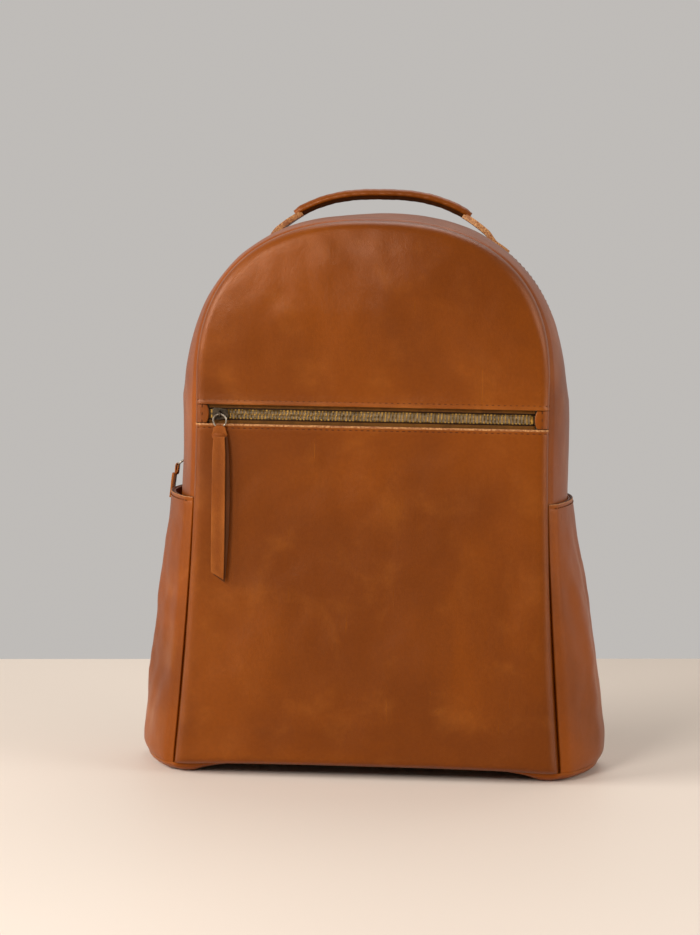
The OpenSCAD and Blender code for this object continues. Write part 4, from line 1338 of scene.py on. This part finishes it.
def outline_block(builder, outline, low, high):
    """A straight block over a plan outline, between two heights."""
    floor = [builder.verts.new((*point, low)) for point in outline]
    roof = [builder.verts.new((*point, high)) for point in outline]
    builder.faces.new(floor[::-1])
    builder.faces.new(roof)
    for i in range(len(outline)):
        j = (i + 1) % len(outline)
        builder.faces.new((floor[i], floor[j], roof[j], roof[i]))


def wire_ring(name, middle, first, second, radius, wire, finish, turns=72, sides=18):
    """A round wire ring in the plane of two directions."""
    first, second = np.asarray(first, float), np.asarray(second, float)
    normal = np.cross(first, second)
    a = np.linspace(0, 2 * np.pi, turns + 1)[:, None, None]
    b = np.linspace(0, 2 * np.pi, sides, endpoint=False)[None, :, None]
    out = np.cos(a) * first + np.sin(a) * second
    points = np.asarray(middle, float) + out * (radius + wire / 2 * np.cos(b)) + normal * (wire / 2 * np.sin(b))
    return shaped(name, points[:, ::-1], finish)


def slider(name, middle, along, outward, bail_axis, body, node):
    """A zip slider: two shaped plates, bent flanges, the wedge halves and the bail that holds the ring."""
    plan = [(-5.5, -3.0), (-4.4, -4.1), (-0.6, -4.2), (2.6, -3.5), (4.4, -3.2), (5.5, -2.5)]
    plan = [(x * MM, y * MM) for x, y in plan + [(x, -y) for x, y in plan[::-1]]]
    flanges = [((-4.2, y - 0.35, 1.2), (1.2, y + 0.35, 1.8)) for y in (-3.75, 3.75)]
    wedges = [((-4.6, -0.42, low), (-3.2, 0.42, low + 0.4)) for low in (-1.8, 1.4)]
    seat = ((-2.4, -1.5, 2.4), (2.4, 1.5, 2.95))
    builder = bmesh.new()
    outline_block(builder, plan, 1.7 * MM, 2.6 * MM)
    outline_block(builder, plan, -2.6 * MM, -1.7 * MM)
    for low, high in (*flanges, *wedges, seat):
        add_block(builder, [c * MM for c in low], [c * MM for c in high])
    plates = rounded_solid(name + "_plates", builder, "antique metal", 0.32 * MM)
    across = (0, 1, 0) if bail_axis == "along" else (1, 0, 0)
    eye = wire_ring(name + "_bail", (0, 0, 5.1 * MM), across, (0, 0, 1), 1.85 * MM, 1.3 * MM, "antique metal", 40, 14)
    obj = joined(name, [plates, eye])
    along, outward = Vector(along), Vector(outward)
    turn = Matrix((along, outward.cross(along), outward)).transposed().to_4x4()
    obj.data.transform(Matrix.Translation(Vector(middle)) @ turn)
    return dress(obj, body, "antique_metal", node)


class BAG_OT_front_zip(bpy.types.Operator):
    """Front pocket zip: tapes, teeth, stops, end tabs and slider"""

    bl_idname = "bag.front_zip"
    bl_label = "Front zip"

    def execute(self, context):
        zips = settings("zips")
        zip_z = (zips.window_low + zips.window_high) / 2
        half = zips.window_w / 2
        for up, name in ((1, "upper"), (-1, "lower")):
            node = f"front_tape_{name}"
            low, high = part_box(node)
            x = np.linspace(low.x, high.x, 120)
            z = np.linspace(low.z, high.z, 12)
            points = grid_of(x[None], low.y, z[:, None])
            tape = leather_sheet(f"zip_tape_{name}", points, "zip tape", 0.6 * MM, borders="", fold=0.1 * MM)
            # Tape faces near the chain's middle take the dark tape finish: painted shade under and between the teeth.
            tape.data.materials.append(material("dark tape"))
            for face in tape.data.polygons:
                if abs(face.center.z - zip_z) < TAPE_SHADE_ZONE:
                    face.material_index = len(tape.data.materials) - 1
            dress(tape, "flap", "zip_tape", node)
            edge_z = zip_z + up * 3.7 * MM
            bead = [(x, low.y, edge_z) for x in (low.x, 0, high.x)]
            # The bead cords beside the teeth are in the dark tape finish as well: painted shade.
            dress(tube(f"zip_bead_{name}", bead, 0.55 * MM, "dark tape"), "flap", "zip_tape")
            chain_y = (low.y + high.y) / 2
            shift = 2.5 * MM + (zips.tooth_pitch / 2 if up > 0 else 0)
            x = np.arange(-half + shift, half - 3 * MM, 0.5 * MM)
            line = grid_of(x, chain_y, zip_z + up * 1.5 * MM)
            line = line[::-1] if up > 0 else line
            dress(tooth_row(f"zip_teeth_{name}", line, (0, -1, 0)), "flap", "zip_brass", f"front_teeth_{name}")
        self.stops(half, zip_z, chain_y)
        self.end_tabs(zips)
        place = (joint_place("front_ring_tilt")[0], chain_y, zip_z)
        slider("front_slider_metal", place, (1, 0, 0), (0, -1, 0), "along", "front_slider", "front_slider")
        return {"FINISHED"}

    @staticmethod
    def stops(half, zip_z, chain_y):
        """Metal stops that close both ends of the chain."""
        builder = bmesh.new()
        for x, low, high in ((half - 2.6 * MM, -3, 3), (-half + 1.2 * MM, 0.6, 3.2), (-half + 1.2 * MM, -3.2, -0.6)):
            corner = (x + 1.5 * MM, chain_y + 1.2 * MM, zip_z + high * MM)
            add_block(builder, (x, chain_y - 1.3 * MM, zip_z + low * MM), corner)
        dress(rounded_solid("zip_stops", builder, "zip brass", 0.3 * MM), "flap", "zip_brass")

    @staticmethod
    def end_tabs(zips):
        """Leather tabs over the ends of the tape, with rounded inner edges."""
        for side, name in SIDES:
            z = np.linspace(zips.window_low + 0.2 * MM, zips.window_high - 0.2 * MM, 24)
            middle = (z - z.mean()) / (z[-1] - z[0]) * 2
            inner = zips.window_w / 2 + 1.6 * MM * middle ** 2
            share = np.linspace(0, 1, 30)
            x = inner[:, None] + (half_w(z)[:, None] - inner[:, None]) * share[None] ** 0.7
            points = face_point(side * x, z[:, None])
            points[..., 1] += 0.25 * MM
            points = points if side > 0 else points[:, ::-1]
            tab = leather_sheet(f"zip_end_{name}", points, "leather", borders="l" if side > 0 else "r")
            dress(tab, "flap", "leather", f"front_zip_tab_{name}")


class BAG_OT_main_zip(bpy.types.Operator):
    """Main zip over the top: tapes, teeth and slider"""

    bl_idname = "bag.main_zip"
    bl_label = "Main zip"

    def execute(self, context):
        body, zips = settings("body"), settings("zips")
        inset = body.leather_t + 0.6 * MM
        for row, name, z0, owner in ((-1, "front", body.fold_z, "flap"), (1, "rear", zips.end_z, "shell")):
            q = even_stations(z0 + PLAY, 360)
            self.tape(f"main_tape_{name}_cloth", q, row, owner, f"main_tape_{name}")
            q = even_stations(z0 + 1.5 * MM, 900)
            self.teeth(f"main_teeth_{name}_brass", q, row, inset, owner, f"main_teeth_{name}")
        feet = []
        for side in (-1, 1):
            q = np.sort(side_station(side, np.linspace(zips.end_z, body.fold_z - PLAY, 40)))
            feet.append(self.tape("foot_tape", q, -1))
            line = gusset_point(q, zips.main_y - TOOTH_SHIFT, inset)
            feet.append(tooth_row("foot_teeth", trimmed(line, 1 * MM), (side, 0, 0)))
        dress(joined("main_zip_feet_cloth", feet), "shell", "zip_tape", "main_zip_feet")
        eye = Vector(joint_place("main_ring_tilt"))
        middle = eye + Vector((5.25 * MM, 0, 0))
        slider("main_slider_metal", middle, (0, 0, -1), (-1, 0, 0), "across", "main_slider", "main_slider")
        return {"FINISHED"}

    @staticmethod
    def tape(name, q, row, owner=None, node=None):
        """One woven tape beside the chain."""
        zips, body = settings("zips"), settings("body")
        y = zips.main_y + row * (3.05 * MM + np.linspace(0, 12 * MM, 10))
        points = gusset_point(q[None], np.sort(y)[:, None], body.leather_t + PLAY)
        obj = leather_sheet(name, points, "zip tape", 0.6 * MM, borders="", fold=0.1 * MM, rim_finish="zip tape")
        return dress(obj, owner, "zip_tape", node) if owner else obj

    @staticmethod
    def teeth(name, q, row, inset, owner, node):
        """One row of teeth over the arch."""
        zips = settings("zips")
        line = gusset_point(q, zips.main_y + row * TOOTH_SHIFT, inset)
        line = trimmed(line, zips.tooth_pitch / 2 if row > 0 else 0.0, 0.8 * MM)
        along = np.gradient(line, axis=0)
        outward = grid_of(-along[:, 2], 0.0, along[:, 0])
        if row > 0:
            line, outward = line[::-1], outward[::-1]
        dress(tooth_row(name, line, outward), owner, "zip_brass", node)


def strip(name, path, across, width, thickness, finish, lean=0.0):
    """A leather strip along a path; width may change along it, lean slants its last edge."""
    path = np.asarray(path, float)
    widths = np.broadcast_to(np.asarray(width, float), len(path))
    share = np.linspace(-0.5, 0.5, 13)
    points = path[:, None] + np.asarray(across, float) * (share[None, :, None] * widths[:, None, None])
    tangent = path[-1] - path[-2]
    tangent /= np.linalg.norm(tangent)
    fade = smooth01((np.arange(len(path)) / (len(path) - 1) - 0.86) / 0.14)
    points += tangent * (fade[:, None] * share[None] * lean)[..., None]
    return leather_sheet(name, points, finish, thickness, borders="lrb", fold=0.25 * MM)


def thong(name, top, down, out, across, length, width, thickness, body, node):
    """A doubled leather pull: a loop through the ring, a knot, and two strips that hang below it."""
    top, down, out, across = (np.asarray(v, float) for v in (top, down, out, across))
    half = thickness / 2
    leaf = half - 0.1 * MM

    def at(low, front):
        return top + down * low * MM + out * front * MM

    turn = np.radians(np.linspace(-90, 90, 15))
    reach = settings("carry").ring_wire / 2 / MM + 0.75
    over = [at(-reach * math.cos(a), -reach * math.sin(a)) for a in turn]
    rise, fall = ([at(5.5, way * reach * 0.7), at(3.4, way * reach * 0.95)] for way in (1, -1))
    loop_path = np.array([*rise, *over, *fall[::-1]])
    widths = np.array([11.2, 6.4, 4.2, 6.4, 11.2]) * MM
    loop_width = np.interp(np.linspace(0, 1, len(loop_path)), [0, 0.16, 0.5, 0.84, 1], widths)
    loop = strip(name + "_loop", loop_path, across, loop_width, 0.9 * MM, "pull leather")
    wrap_turn = np.linspace(0, 2 * np.pi, 49)
    rows = []
    for low, grow in ((3.0, 0.78), (3.5, 0.98), (4.6, 1.04), (5.9, 1.06), (7.2, 1.0), (7.9, 0.8)):
        lean = 0.9 * np.sin(wrap_turn)
        ring = [
            at(low + d, math.sin(a) * (half / MM) * 1.02 * grow) + across * math.cos(a) * width * 0.54 * grow
            for a, d in zip(wrap_turn, lean)
        ]
        rows.append(ring)
    wrap = shaped(name + "_wrap", np.array(rows)[:, ::-1], "pull leather", wrap=False)
    low = np.linspace(6.5, length / MM - 3.5, 70)
    share = (low - low[0]) / (low[-1] - low[0])
    sway = 0.35 * np.sin(5.2 * share + 0.4) * share * (1 - share) * 4
    front_path = np.array([at(d, half / MM - 0.05 + 0.25 * s) for d, s in zip(low, sway)])
    swell_w = width * np.interp(share, [0, 0.12, 0.5, 0.9, 1], [0.84, 0.97, 1.0, 0.99, 0.93])
    front = strip(name + "_front", front_path, across, swell_w, leaf, "pull leather", lean=width * 0.55)
    rear_path = np.array([at(d + 2.0 * s, -0.10 - 0.25 * w) for d, s, w in zip(low, share, sway)])
    rear_path += across * (width * 0.36 * np.sin(np.pi * (0.18 + 0.72 * share)))[:, None]
    # The rear strip is a real second layer, but its dark finish is painted shade beside and behind the front strip.
    rear = strip(name + "_rear", rear_path, across, swell_w * 0.97, leaf, "pull back", lean=width * 0.60)
    return dress(joined(name, [loop, wrap, front, rear]), body, "pull_leather", node)


class BAG_OT_pulls(bpy.types.Operator):
    """Rings and leather pulls of both zips"""

    bl_idname = "bag.pulls"
    bl_label = "Pulls"

    def execute(self, context):
        carry = settings("carry")
        tilt = math.radians(6)
        down, out = (-math.sin(tilt), 0, -math.cos(tilt)), (-math.cos(tilt), 0, math.sin(tilt))
        for zip_name, swing, lie, size in (
            ("front", (1, 0, 0), ((0, 0, -1), (0, -1, 0), (1, 0, 0)), (carry.pull_l, carry.pull_w, 3.4 * MM)),
            ("main", (0, 1, 0), (down, out, (0, -1, 0)), (carry.main_pull_l, 8 * MM, 3.2 * MM)),
        ):
            eye, low = (np.array(joint_place(f"{zip_name}_{joint}")) for joint in ("ring_tilt", "pull_lift"))
            self.ring(f"{zip_name}_ring_metal", eye, low, swing, f"{zip_name}_ring", f"{zip_name}_pull_ring")
            thong(f"{zip_name}_pull_leather", low, *lie, *size, f"{zip_name}_pull", f"{zip_name}_pull_strap")
        return {"FINISHED"}

    @staticmethod
    def ring(name, eye, low, across, body, node):
        """A wire ring that hangs from an eye to its lowest point."""
        drop = low - eye
        radius = np.linalg.norm(drop) / 2
        obj = wire_ring(
            name, (eye + low) / 2, across, drop / np.linalg.norm(drop), radius,
            settings("carry").ring_wire, "ring metal",
        )
        dress(obj, body, "antique_metal", node)


class BAG_OT_handle(bpy.types.Operator):
    """Carrying handle: a rolled grip between two flat strap ends, and the tabs they are sewn to"""

    bl_idname = "bag.handle"
    bl_label = "Handle"

    def execute(self, context):
        carry, body = settings("carry"), settings("body")
        self.end = np.array(joint_place("handle_swing")) - (0, 0, 1.2 * MM)
        self.grip(carry)
        self.strap_ends(carry)
        for _, name in SIDES:
            low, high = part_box(f"handle_tab_{name}")
            x = np.linspace(low.x, high.x, 30)
            q = np.interp(x, *self.arch_stations())
            y = np.linspace(low.y, high.y, 20)
            points = gusset_point(q[None], y[:, None], -body.leather_t - PLAY)
            tab = leather_sheet(f"handle_tab_{name}_leather", points, "strap leather", stitched="lrtb")
            dress(tab, "shell", "leather", f"handle_tab_{name}")
        return {"FINISHED"}

    @staticmethod
    def arch_stations():
        """Places across the arch and their stations, at the handle's depth."""
        q = np.linspace(1, 179, 600)
        return gusset_point(q, joint_place("handle_swing")[1])[:, 0], q

    def along(self, share, out=0.0):
        """A point of the arch and its outward direction; share runs from -1 to 1 between the sewn ends."""
        carry = settings("carry")
        half, rise, power = carry.handle_span / 2, carry.handle_rise, carry.handle_power
        slope = math.copysign(rise * power * abs(share) ** (power - 1) / half, share)
        outward = np.array((slope, 0, 1)) / math.hypot(slope, 1)
        return self.end + np.array((half * share, 0, rise * (1 - abs(share) ** power))) + outward * out, outward

    def grip(self, carry):
        """Rolled grip: leather folded round a cord, its two edges meeting in a flat ridge underneath."""
        reach = carry.grip_share
        around = np.linspace(0, 2 * np.pi, 48, endpoint=False)
        under = np.abs(around - np.pi)
        rows = []
        for share in np.linspace(-reach, reach, 160):
            near_end = smooth01((reach - abs(share)) / (reach * 0.08))
            thick = carry.grip_d / 2 * (0.84 + 0.16 * near_end)
            place, outward = self.along(share)
            ridge = 0.24 * np.exp(-(under / 0.34) ** 2) - 0.14 * smooth01((1.25 - under) / 0.12)
            wobble = 0.02 * np.sin(share * 33) + 0.015 * np.sin(share * 79 + 1)
            size = thick * (1 + ridge + wobble)
            deep = np.sin(around) * size * 0.96
            high = np.cos(around) * size * (0.70 + 0.06 * near_end)
            rows.append(place[None] + outward[None] * high[:, None] + np.array((0, 1, 0))[None] * deep[:, None])
        points = capped(np.array(rows), (0.30, 0.90))
        near = np.zeros(points.shape[:2])
        near[:5], near[-5:] = 1.0, 1.0
        mesh = grid_mesh("handle_grip_leather", points[:, ::-1], near[:, ::-1], wrap=True)
        # Faces within about 66 degrees of straight down take the dark shade leather: painted shade on the underside,
        # partly the dark edge of the seam ridge.
        for finish in ("leather", "pull back"):
            mesh.materials.append(material(finish))
        turned = under[::-1]
        for face in mesh.polygons:
            face.material_index = int(turned[[v % len(around) for v in face.vertices]].mean() < 1.15)
        dress(new_object("handle_grip_leather", mesh), "handle", "leather", "handle_grip", "handle_core")

    @staticmethod
    def bend(arch, seat, count=12):
        """Points of a soft curve from the end of one line to the start of the next."""
        reach = np.linalg.norm(seat[0] - arch[-1]) / 3
        leave, meet = (line[1] - line[0] for line in (arch[-2:], seat[:2]))
        leave, meet = (step / np.linalg.norm(step) * reach for step in (leave, meet))
        t = np.linspace(0, 1, count + 2)[1:-1, None]
        first, second, third, fourth = arch[-1], arch[-1] + leave, seat[0] - meet, seat[0]
        return first * (1 - t) ** 3 + second * 3 * t * (1 - t) ** 2 + third * 3 * t * t * (1 - t) + fourth * t ** 3

    def strap_ends(self, carry):
        """Flat strap ends that run from under the grip down to the tabs and lie on them."""
        ends, thick = [], 4.2 * MM
        for side, name in SIDES:
            arch = np.array([self.along(side * share)[0] for share in np.linspace(carry.grip_share - 0.05, 0.93, 18)])
            tab_end = max(abs(corner.x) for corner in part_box(f"handle_tab_{name}")) - 2 * MM
            x = side * np.linspace(min(carry.handle_span / 2, tab_end - 8 * MM), tab_end, 10)
            stations = np.interp(x, *self.arch_stations())
            seat = gusset_point(stations, self.end[1], -settings("body").leather_t - PLAY - thick)
            path = np.concatenate([arch, self.bend(arch, seat), seat])
            across = (0, 1, 0) if side < 0 else (0, -1, 0)
            width = carry.handle_w * np.interp(np.linspace(0, 1, len(path)), [0, 0.25, 1], [0.42, 0.8, 1.0])
            ends.append(strip("strap_end", path, across, width, thick, "strap leather"))
        piece = joined("handle_strap_leather", ends)
        top = self.along(carry.grip_share)[0][2]
        y = self.end[1]
        drape(piece, ("shell", "handle"), "leather", (0, y, self.end[2] - 1 * MM), (0, y, top), "handle_strap")


def strap_ends(share):
    """How full a strap is at a share of its length: thinner at both ends."""
    return 0.30 + 0.70 * np.minimum(smooth01(share / 0.05), smooth01((1 - share) / 0.05)) ** 0.6


class BAG_OT_straps(bpy.types.Operator):
    """Padded shoulder straps with their adjusters, webbing and base tabs"""

    bl_idname = "bag.straps"
    bl_label = "Shoulder straps"

    def execute(self, context):
        carry = settings("carry")
        for side, name in SIDES:
            self.pad(carry, side, name)
            self.adjuster(carry, name)
            self.webbing(carry, name)
            low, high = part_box(f"base_tab_{name}")
            x = np.linspace(high.x, low.x, 24)
            z = low.z + spaced(high.z - low.z, SHEET_STEP)
            points = grid_of(x[None], high.y, z[:, None])
            tab = leather_sheet(f"base_tab_{name}_leather", points, "strap leather", stitched="tb")
            dress(tab, "shell", "leather", f"base_tab_{name}")
        return {"FINISHED"}

    @staticmethod
    def line(carry, side, share):
        """Middle of a strap's inner face at a share of its length, and its width there."""
        low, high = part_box("strap_pad_left")
        x = side * (carry.strap_spread / 2 + carry.strap_splay * share ** 1.4)
        y = low.y + carry.strap_bow * np.sin(np.pi * share ** 0.9) ** 0.9
        z = high.z + (low.z - high.z) * share
        return grid_of(x, y, z), carry.strap_w + (carry.strap_end_w - carry.strap_w) * share

    def pad(self, carry, side, name):
        """A stuffed strap: crowned on both faces, pinched at its sewn edges and ends."""
        tip = np.linspace(0, 0.04, 8)[:-1]
        share = np.concatenate([tip, np.linspace(0.04, 0.96, 110), np.linspace(0.96, 1, 8)[1:]])
        middle, width = self.line(carry, side, share)
        along = np.gradient(middle, axis=0)
        along /= np.linalg.norm(along, axis=1, keepdims=True)
        across = np.tile((1.0, 0, 0), (len(share), 1))
        out = np.cross(across, along)
        out *= np.sign(out[:, 1:2])
        turn = np.linspace(0, 2 * np.pi, 56, endpoint=False)
        c, crown = signed_power(np.cos(turn), 0.55), signed_power(np.sin(turn), 0.62)
        pinch = 1 - 0.45 * np.exp(-((1 - np.abs(c)) / 0.09) ** 2)
        points = (
            middle[:, None]
            + out[:, None] * (STRAP_THICK / 2)
            + across[:, None] * (c[None, :, None] * width[:, None, None] / 2)
            + out[:, None] * ((crown * pinch)[None, :, None] * strap_ends(share)[:, None, None] * STRAP_THICK / 2)
        )
        points = capped(points, (0.02, 0.9))
        near = np.broadcast_to(np.exp(-((1 - np.abs(c)) / 0.06) ** 2), points.shape[:2])
        obj = shaped(f"strap_{name}_leather", points, "strap leather", near)
        builder = bmesh.new()
        builder.from_mesh(obj.data)
        bmesh.ops.recalc_face_normals(builder, faces=builder.faces)
        builder.to_mesh(obj.data)
        builder.free()
        dress(obj, f"strap_{name}", "leather", f"strap_{name}", f"strap_pad_{name}")

    @staticmethod
    def adjuster(carry, name):
        """A tri-glide: two rails and three bars, all rounded."""
        low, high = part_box(f"adjuster_{name}")
        bar = 4 * MM
        rail = (high.x - low.x - carry.webbing_w) / 2
        builder = bmesh.new()
        for x in (low.x, high.x - rail):
            add_block(builder, (x, low.y, low.z), (x + rail, high.y, high.z))
        pieces = [rounded_solid("adjuster_rails", builder, "antique metal", 1.1 * MM, 4)]
        gap = (high.z - low.z - 3 * bar) / 2
        y, r = (low.y + high.y) / 2, 1.7 * MM
        for i in range(3):
            z = low.z + bar / 2 + i * (bar + gap)
            path = [(low.x + rail * 0.4, y, z), ((low.x + high.x) / 2, y, z), (high.x - rail * 0.4, y, z)]
            pieces.append(tube("adjuster_bar", path, r, "antique metal", sides=20))
        dress(joined(f"adjuster_{name}_metal", pieces), f"adjuster_{name}", "antique_metal", f"adjuster_{name}")

    @staticmethod
    def webbing(carry, name):
        """Woven webbing from the adjuster down to the base tab."""
        low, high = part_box(f"webbing_{name}")
        share = np.linspace(0, 1, 50)
        tab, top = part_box(f"base_tab_{name}"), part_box(f"adjuster_{name}")
        foot = (tab[0] + tab[1]) / 2
        head = (top[0] + top[1]) / 2
        x = head.x + (foot.x - head.x) * share
        near_y, far_y = top[0].y + 0.9 * MM, tab[1].y + 1.9 * MM
        y = near_y + (far_y - near_y) * share + 0.6 * MM * np.sin(np.pi * share)
        z = high.z + WEBBING_LAP + (low.z - high.z - WEBBING_LAP) * share
        columns = np.linspace(0.5, -0.5, 14) * carry.webbing_w
        points = grid_of(x[:, None] + columns[None], y[:, None], z[:, None])
        points = points[::-1]
        split = int(np.searchsorted(points[:, 0, 2], top[0].z - WEBBING_HEAD))
        strap, joint_z = f"strap_{name}", points[split, 0, 2]
        pieces = (
            ("band", points[: split + 1], ("shell", strap), foot.z + 14 * MM, joint_z, [f"webbing_{name}"]),
            ("head", points[split:], (strap, f"adjuster_{name}"), joint_z, top[0].z, []),
        )
        for part, rows, bodies, start, end, nodes in pieces:
            cloth = leather_sheet(
                f"webbing_{name}_{part}", rows, "webbing", 1.7 * MM, borders="", fold=0.4 * MM, rim_finish="webbing"
            )
            drape(cloth, bodies, "webbing", (foot.x, foot.y, start), (foot.x, foot.y, end), *nodes)


class BAG_OT_stitching(bpy.types.Operator):
    """Stitch rows of the panels, pockets, zips, back, base tabs, yoke and straps"""

    bl_idname = "bag.stitching"
    bl_label = "Stitching"

    def execute(self, context):
        body, zips, edge = settings("body"), settings("zips"), settings("stitching").edge
        proud = 0.05 * MM
        x = np.linspace(-1, 1, 120)
        rows = []
        for z in (zips.window_high + edge, zips.window_low - edge):
            row = face_point(x * (half_w(z) - 2.5 * MM), z)
            rows.append(row - (0, proud, 0))
        for side in (-1, 1):
            z = np.linspace(zips.window_low + 1.5 * MM, zips.window_high - 1.5 * MM, 12)
            rows.append(face_point(side * (zips.window_w / 2 + 5 * MM), z) + (0, 0.2 * MM, 0))
        q = even_stations(body.fold_z + 34 * MM, 400)
        rows.append(gusset_point(q, zip_edges()[0] - edge, -proud))
        stitch_rows("stitches_flap", rows, "flap")
        stitch_rows("stitches_shell", self.shell_rows(body, zips, edge, proud), "shell")
        for side, name in SIDES:
            share = np.linspace(0.03, 0.97, 140)
            lines = [strap_face(side, share, c) for c in (-0.86, 0.86)]
            stitch_rows(f"stitches_strap_{name}", lines, f"strap_{name}")
        return {"FINISHED"}

    @staticmethod
    def shell_rows(body, zips, edge, proud):
        """Rows on the pieces that stay with the shell."""
        rows = [gusset_point(even_stations(zips.end_z, 420), zip_edges()[1] + edge, -proud)]
        y = np.linspace(body.front_y + 6 * MM, body.back_y - 4 * MM, 60)
        for side in (-1, 1):
            rows.append(pocket_point(side, hem_height(y) - edge, y, body.leather_t + proud))
            z = np.linspace(70 * MM, 296 * MM, 60)
            rows.append(grid_of(side * 35 * MM, body.back_y + body.leather_t + proud, z))
        for name in ("base_tab_left", "base_tab_right"):
            low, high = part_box(name)
            face = high.y + proud
            corners = [(low.x, low.z), (high.x, low.z), (high.x, high.z), (low.x, high.z), (low.x, low.z)]
            middle = np.array(((low.x + high.x) / 2, (low.z + high.z) / 2))
            inner = middle + (np.array(corners) - middle) * 0.78
            rows.append(np.column_stack([inner[:, 0], np.full(5, face), inner[:, 1]]))
        x, z = rim(even_stations(body.arch_z, 220), -15 * MM)
        low = node_low("strap_yoke").z + edge
        keep = z > low
        face = node_high("strap_yoke").y + proud
        arch = np.column_stack([x[keep], np.full(keep.sum(), face), z[keep]])
        rows.append(np.concatenate([arch, arch[:1] * (1, 1, 0) + (0, 0, low)]))
        return rows


def strap_face(side, share, c):
    """Outer face of a strap at a share of its length and of its half width."""
    carry = settings("carry")
    middle, width = BAG_OT_straps.line(carry, side, share)
    along = np.gradient(middle, axis=0)
    out = np.cross((1.0, 0, 0), along)
    out *= np.sign(out[:, 1:2]) / np.linalg.norm(out, axis=1, keepdims=True)
    face = STRAP_THICK / 2 * (1 + 0.735 * strap_ends(share))
    return middle + out * face[:, None] + np.array((1.0, 0, 0)) * (c * width / 2)[:, None]


class BAG_OT_stage(bpy.types.Operator):
    """Camera, soft studio light, pale floor and plain background"""

    bl_idname = "bag.stage"
    bl_label = "Stage"

    def execute(self, context):
        stage, scene = settings("stage"), context.scene
        scene.view_settings.view_transform = "Standard"
        self.camera(stage, scene)
        self.floor(stage)
        self.area("key", stage.key, (-1.95, -0.75, 1.05), 1.2)
        self.area("window", stage.window, (-0.88, -1.75, 1.08), 0.62)
        self.area("fill", stage.fill, (2.0, -0.55, 0.85), 1.4)
        self.area("top", stage.fill * 0.4, (0.2, 0.7, 1.8), 1.2)
        world = bpy.data.worlds.new("studio")
        scene.world = world
        world.use_nodes = True
        tree = world.node_tree
        tree.nodes.clear()
        path = add_node(tree, "ShaderNodeLightPath").outputs
        mirrored = sums(tree, "MAXIMUM", path["Is Glossy Ray"], path["Is Transmission Ray"])
        rays = sums(tree, "MAXIMUM", path["Is Camera Ray"], mirrored)
        room = add_node(tree, "ShaderNodeBackground", {"Color": (1, 0.90, 0.80, 1), "Strength": stage.sky})
        wall = add_node(tree, "ShaderNodeBackground", {"Color": colour("backdrop"), "Strength": 1.0})
        both = add_node(tree, "ShaderNodeMixShader", {0: rays, 1: room.outputs[0], 2: wall.outputs[0]})
        add_node(tree, "ShaderNodeOutputWorld", {"Surface": both.outputs[0]})
        return {"FINISHED"}

    @staticmethod
    def camera(stage, scene):
        """The camera at the photograph's angle."""
        azimuth, elevation, roll = (math.radians(v) for v in (stage.azimuth, stage.elevation, stage.roll))
        back = Vector((
            math.sin(azimuth) * math.cos(elevation), -math.cos(azimuth) * math.cos(elevation), math.sin(elevation),
        ))
        right = (-back).cross(Vector((0, 0, 1))).normalized()
        up = right.cross(-back)
        across = right * math.cos(roll) + up * math.sin(roll)
        upright = up * math.cos(roll) - right * math.sin(roll)
        data = bpy.data.cameras.new("camera")
        data.lens = stage.lens
        data.sensor_width = 36
        obj = new_object("camera", data)
        turn = Matrix((across, upright, back)).transposed().to_4x4()
        obj.matrix_world = Matrix.Translation(Vector(stage.target) + back * stage.distance) @ turn
        scene.camera = obj

    @staticmethod
    def area(name, power, place, size):
        """A soft square lamp that faces the bag."""
        data = bpy.data.lights.new(name, "AREA")
        data.energy = power
        data.size = size
        obj = new_object(name, data)
        obj.location = place
        obj.rotation_euler = (Vector((0, 0, 0.2)) - Vector(place)).to_track_quat("-Z", "Y").to_euler()

    @staticmethod
    def floor(stage):
        """A plain pale table top."""
        y = np.linspace(-3.0, stage.table_y, 8)
        x = np.linspace(-2.6, 2.6, 8)
        slant = 0.17 * x[None] * clamp01(y[:, None] / stage.table_y)
        points = grid_of(x[None], y[:, None] + slant, -0.0002)
        obj = new_object("floor", grid_mesh("floor", points))
        mat, tree = new_material("floor")
        pale = colour("floor")
        dim = (*(0.97 * c for c in pale[:3]), 1.0)
        cloud = ranged(tree, speckle(tree, object_place(tree), 2.0), 0.3, 0.7)
        shade(mat, mixed(tree, cloud, pale, dim), None, 0.55)
        obj.data.materials.append(mat)


class BAG_PT_panel(bpy.types.Panel):
    """Lists the bag's pieces and their sizes"""

    bl_idname = "BAG_PT_panel"
    bl_label = "Backpack"
    bl_space_type = "VIEW_3D"
    bl_region_type = "UI"
    bl_category = "Backpack"

    def draw(self, context):
        for operator in OPERATORS:
            self.layout.operator(operator.bl_idname)
        for name, group in SETTINGS.items():
            box = self.layout.box()
            box.label(text=group.__doc__)
            for key in group.__annotations__:
                box.prop(settings(name), key)


OPERATORS = (
    BAG_OT_stage, BAG_OT_front, BAG_OT_gusset, BAG_OT_pockets, BAG_OT_base, BAG_OT_back, BAG_OT_linings,
    BAG_OT_front_zip, BAG_OT_main_zip, BAG_OT_pulls, BAG_OT_handle, BAG_OT_straps, BAG_OT_stitching,
)
CLASSES = (*SETTINGS.values(), *OPERATORS, BAG_PT_panel)


def register():
    """Registers the classes and the scene's settings."""
    for cls in CLASSES:
        bpy.utils.register_class(cls)
    for name, group in SETTINGS.items():
        setattr(bpy.types.Scene, f"bag_{name}", PointerProperty(type=group))


def unregister():
    """Takes the classes and the settings away again."""
    for name in SETTINGS:
        delattr(bpy.types.Scene, f"bag_{name}")
    for cls in reversed(CLASSES):
        bpy.utils.unregister_class(cls)


def main():
    """Builds the bag."""
    register()
    for operator in OPERATORS:
        section, name = operator.bl_idname.split(".")
        getattr(getattr(bpy.ops, section), name)()


if __name__ == "__main__":
    main()
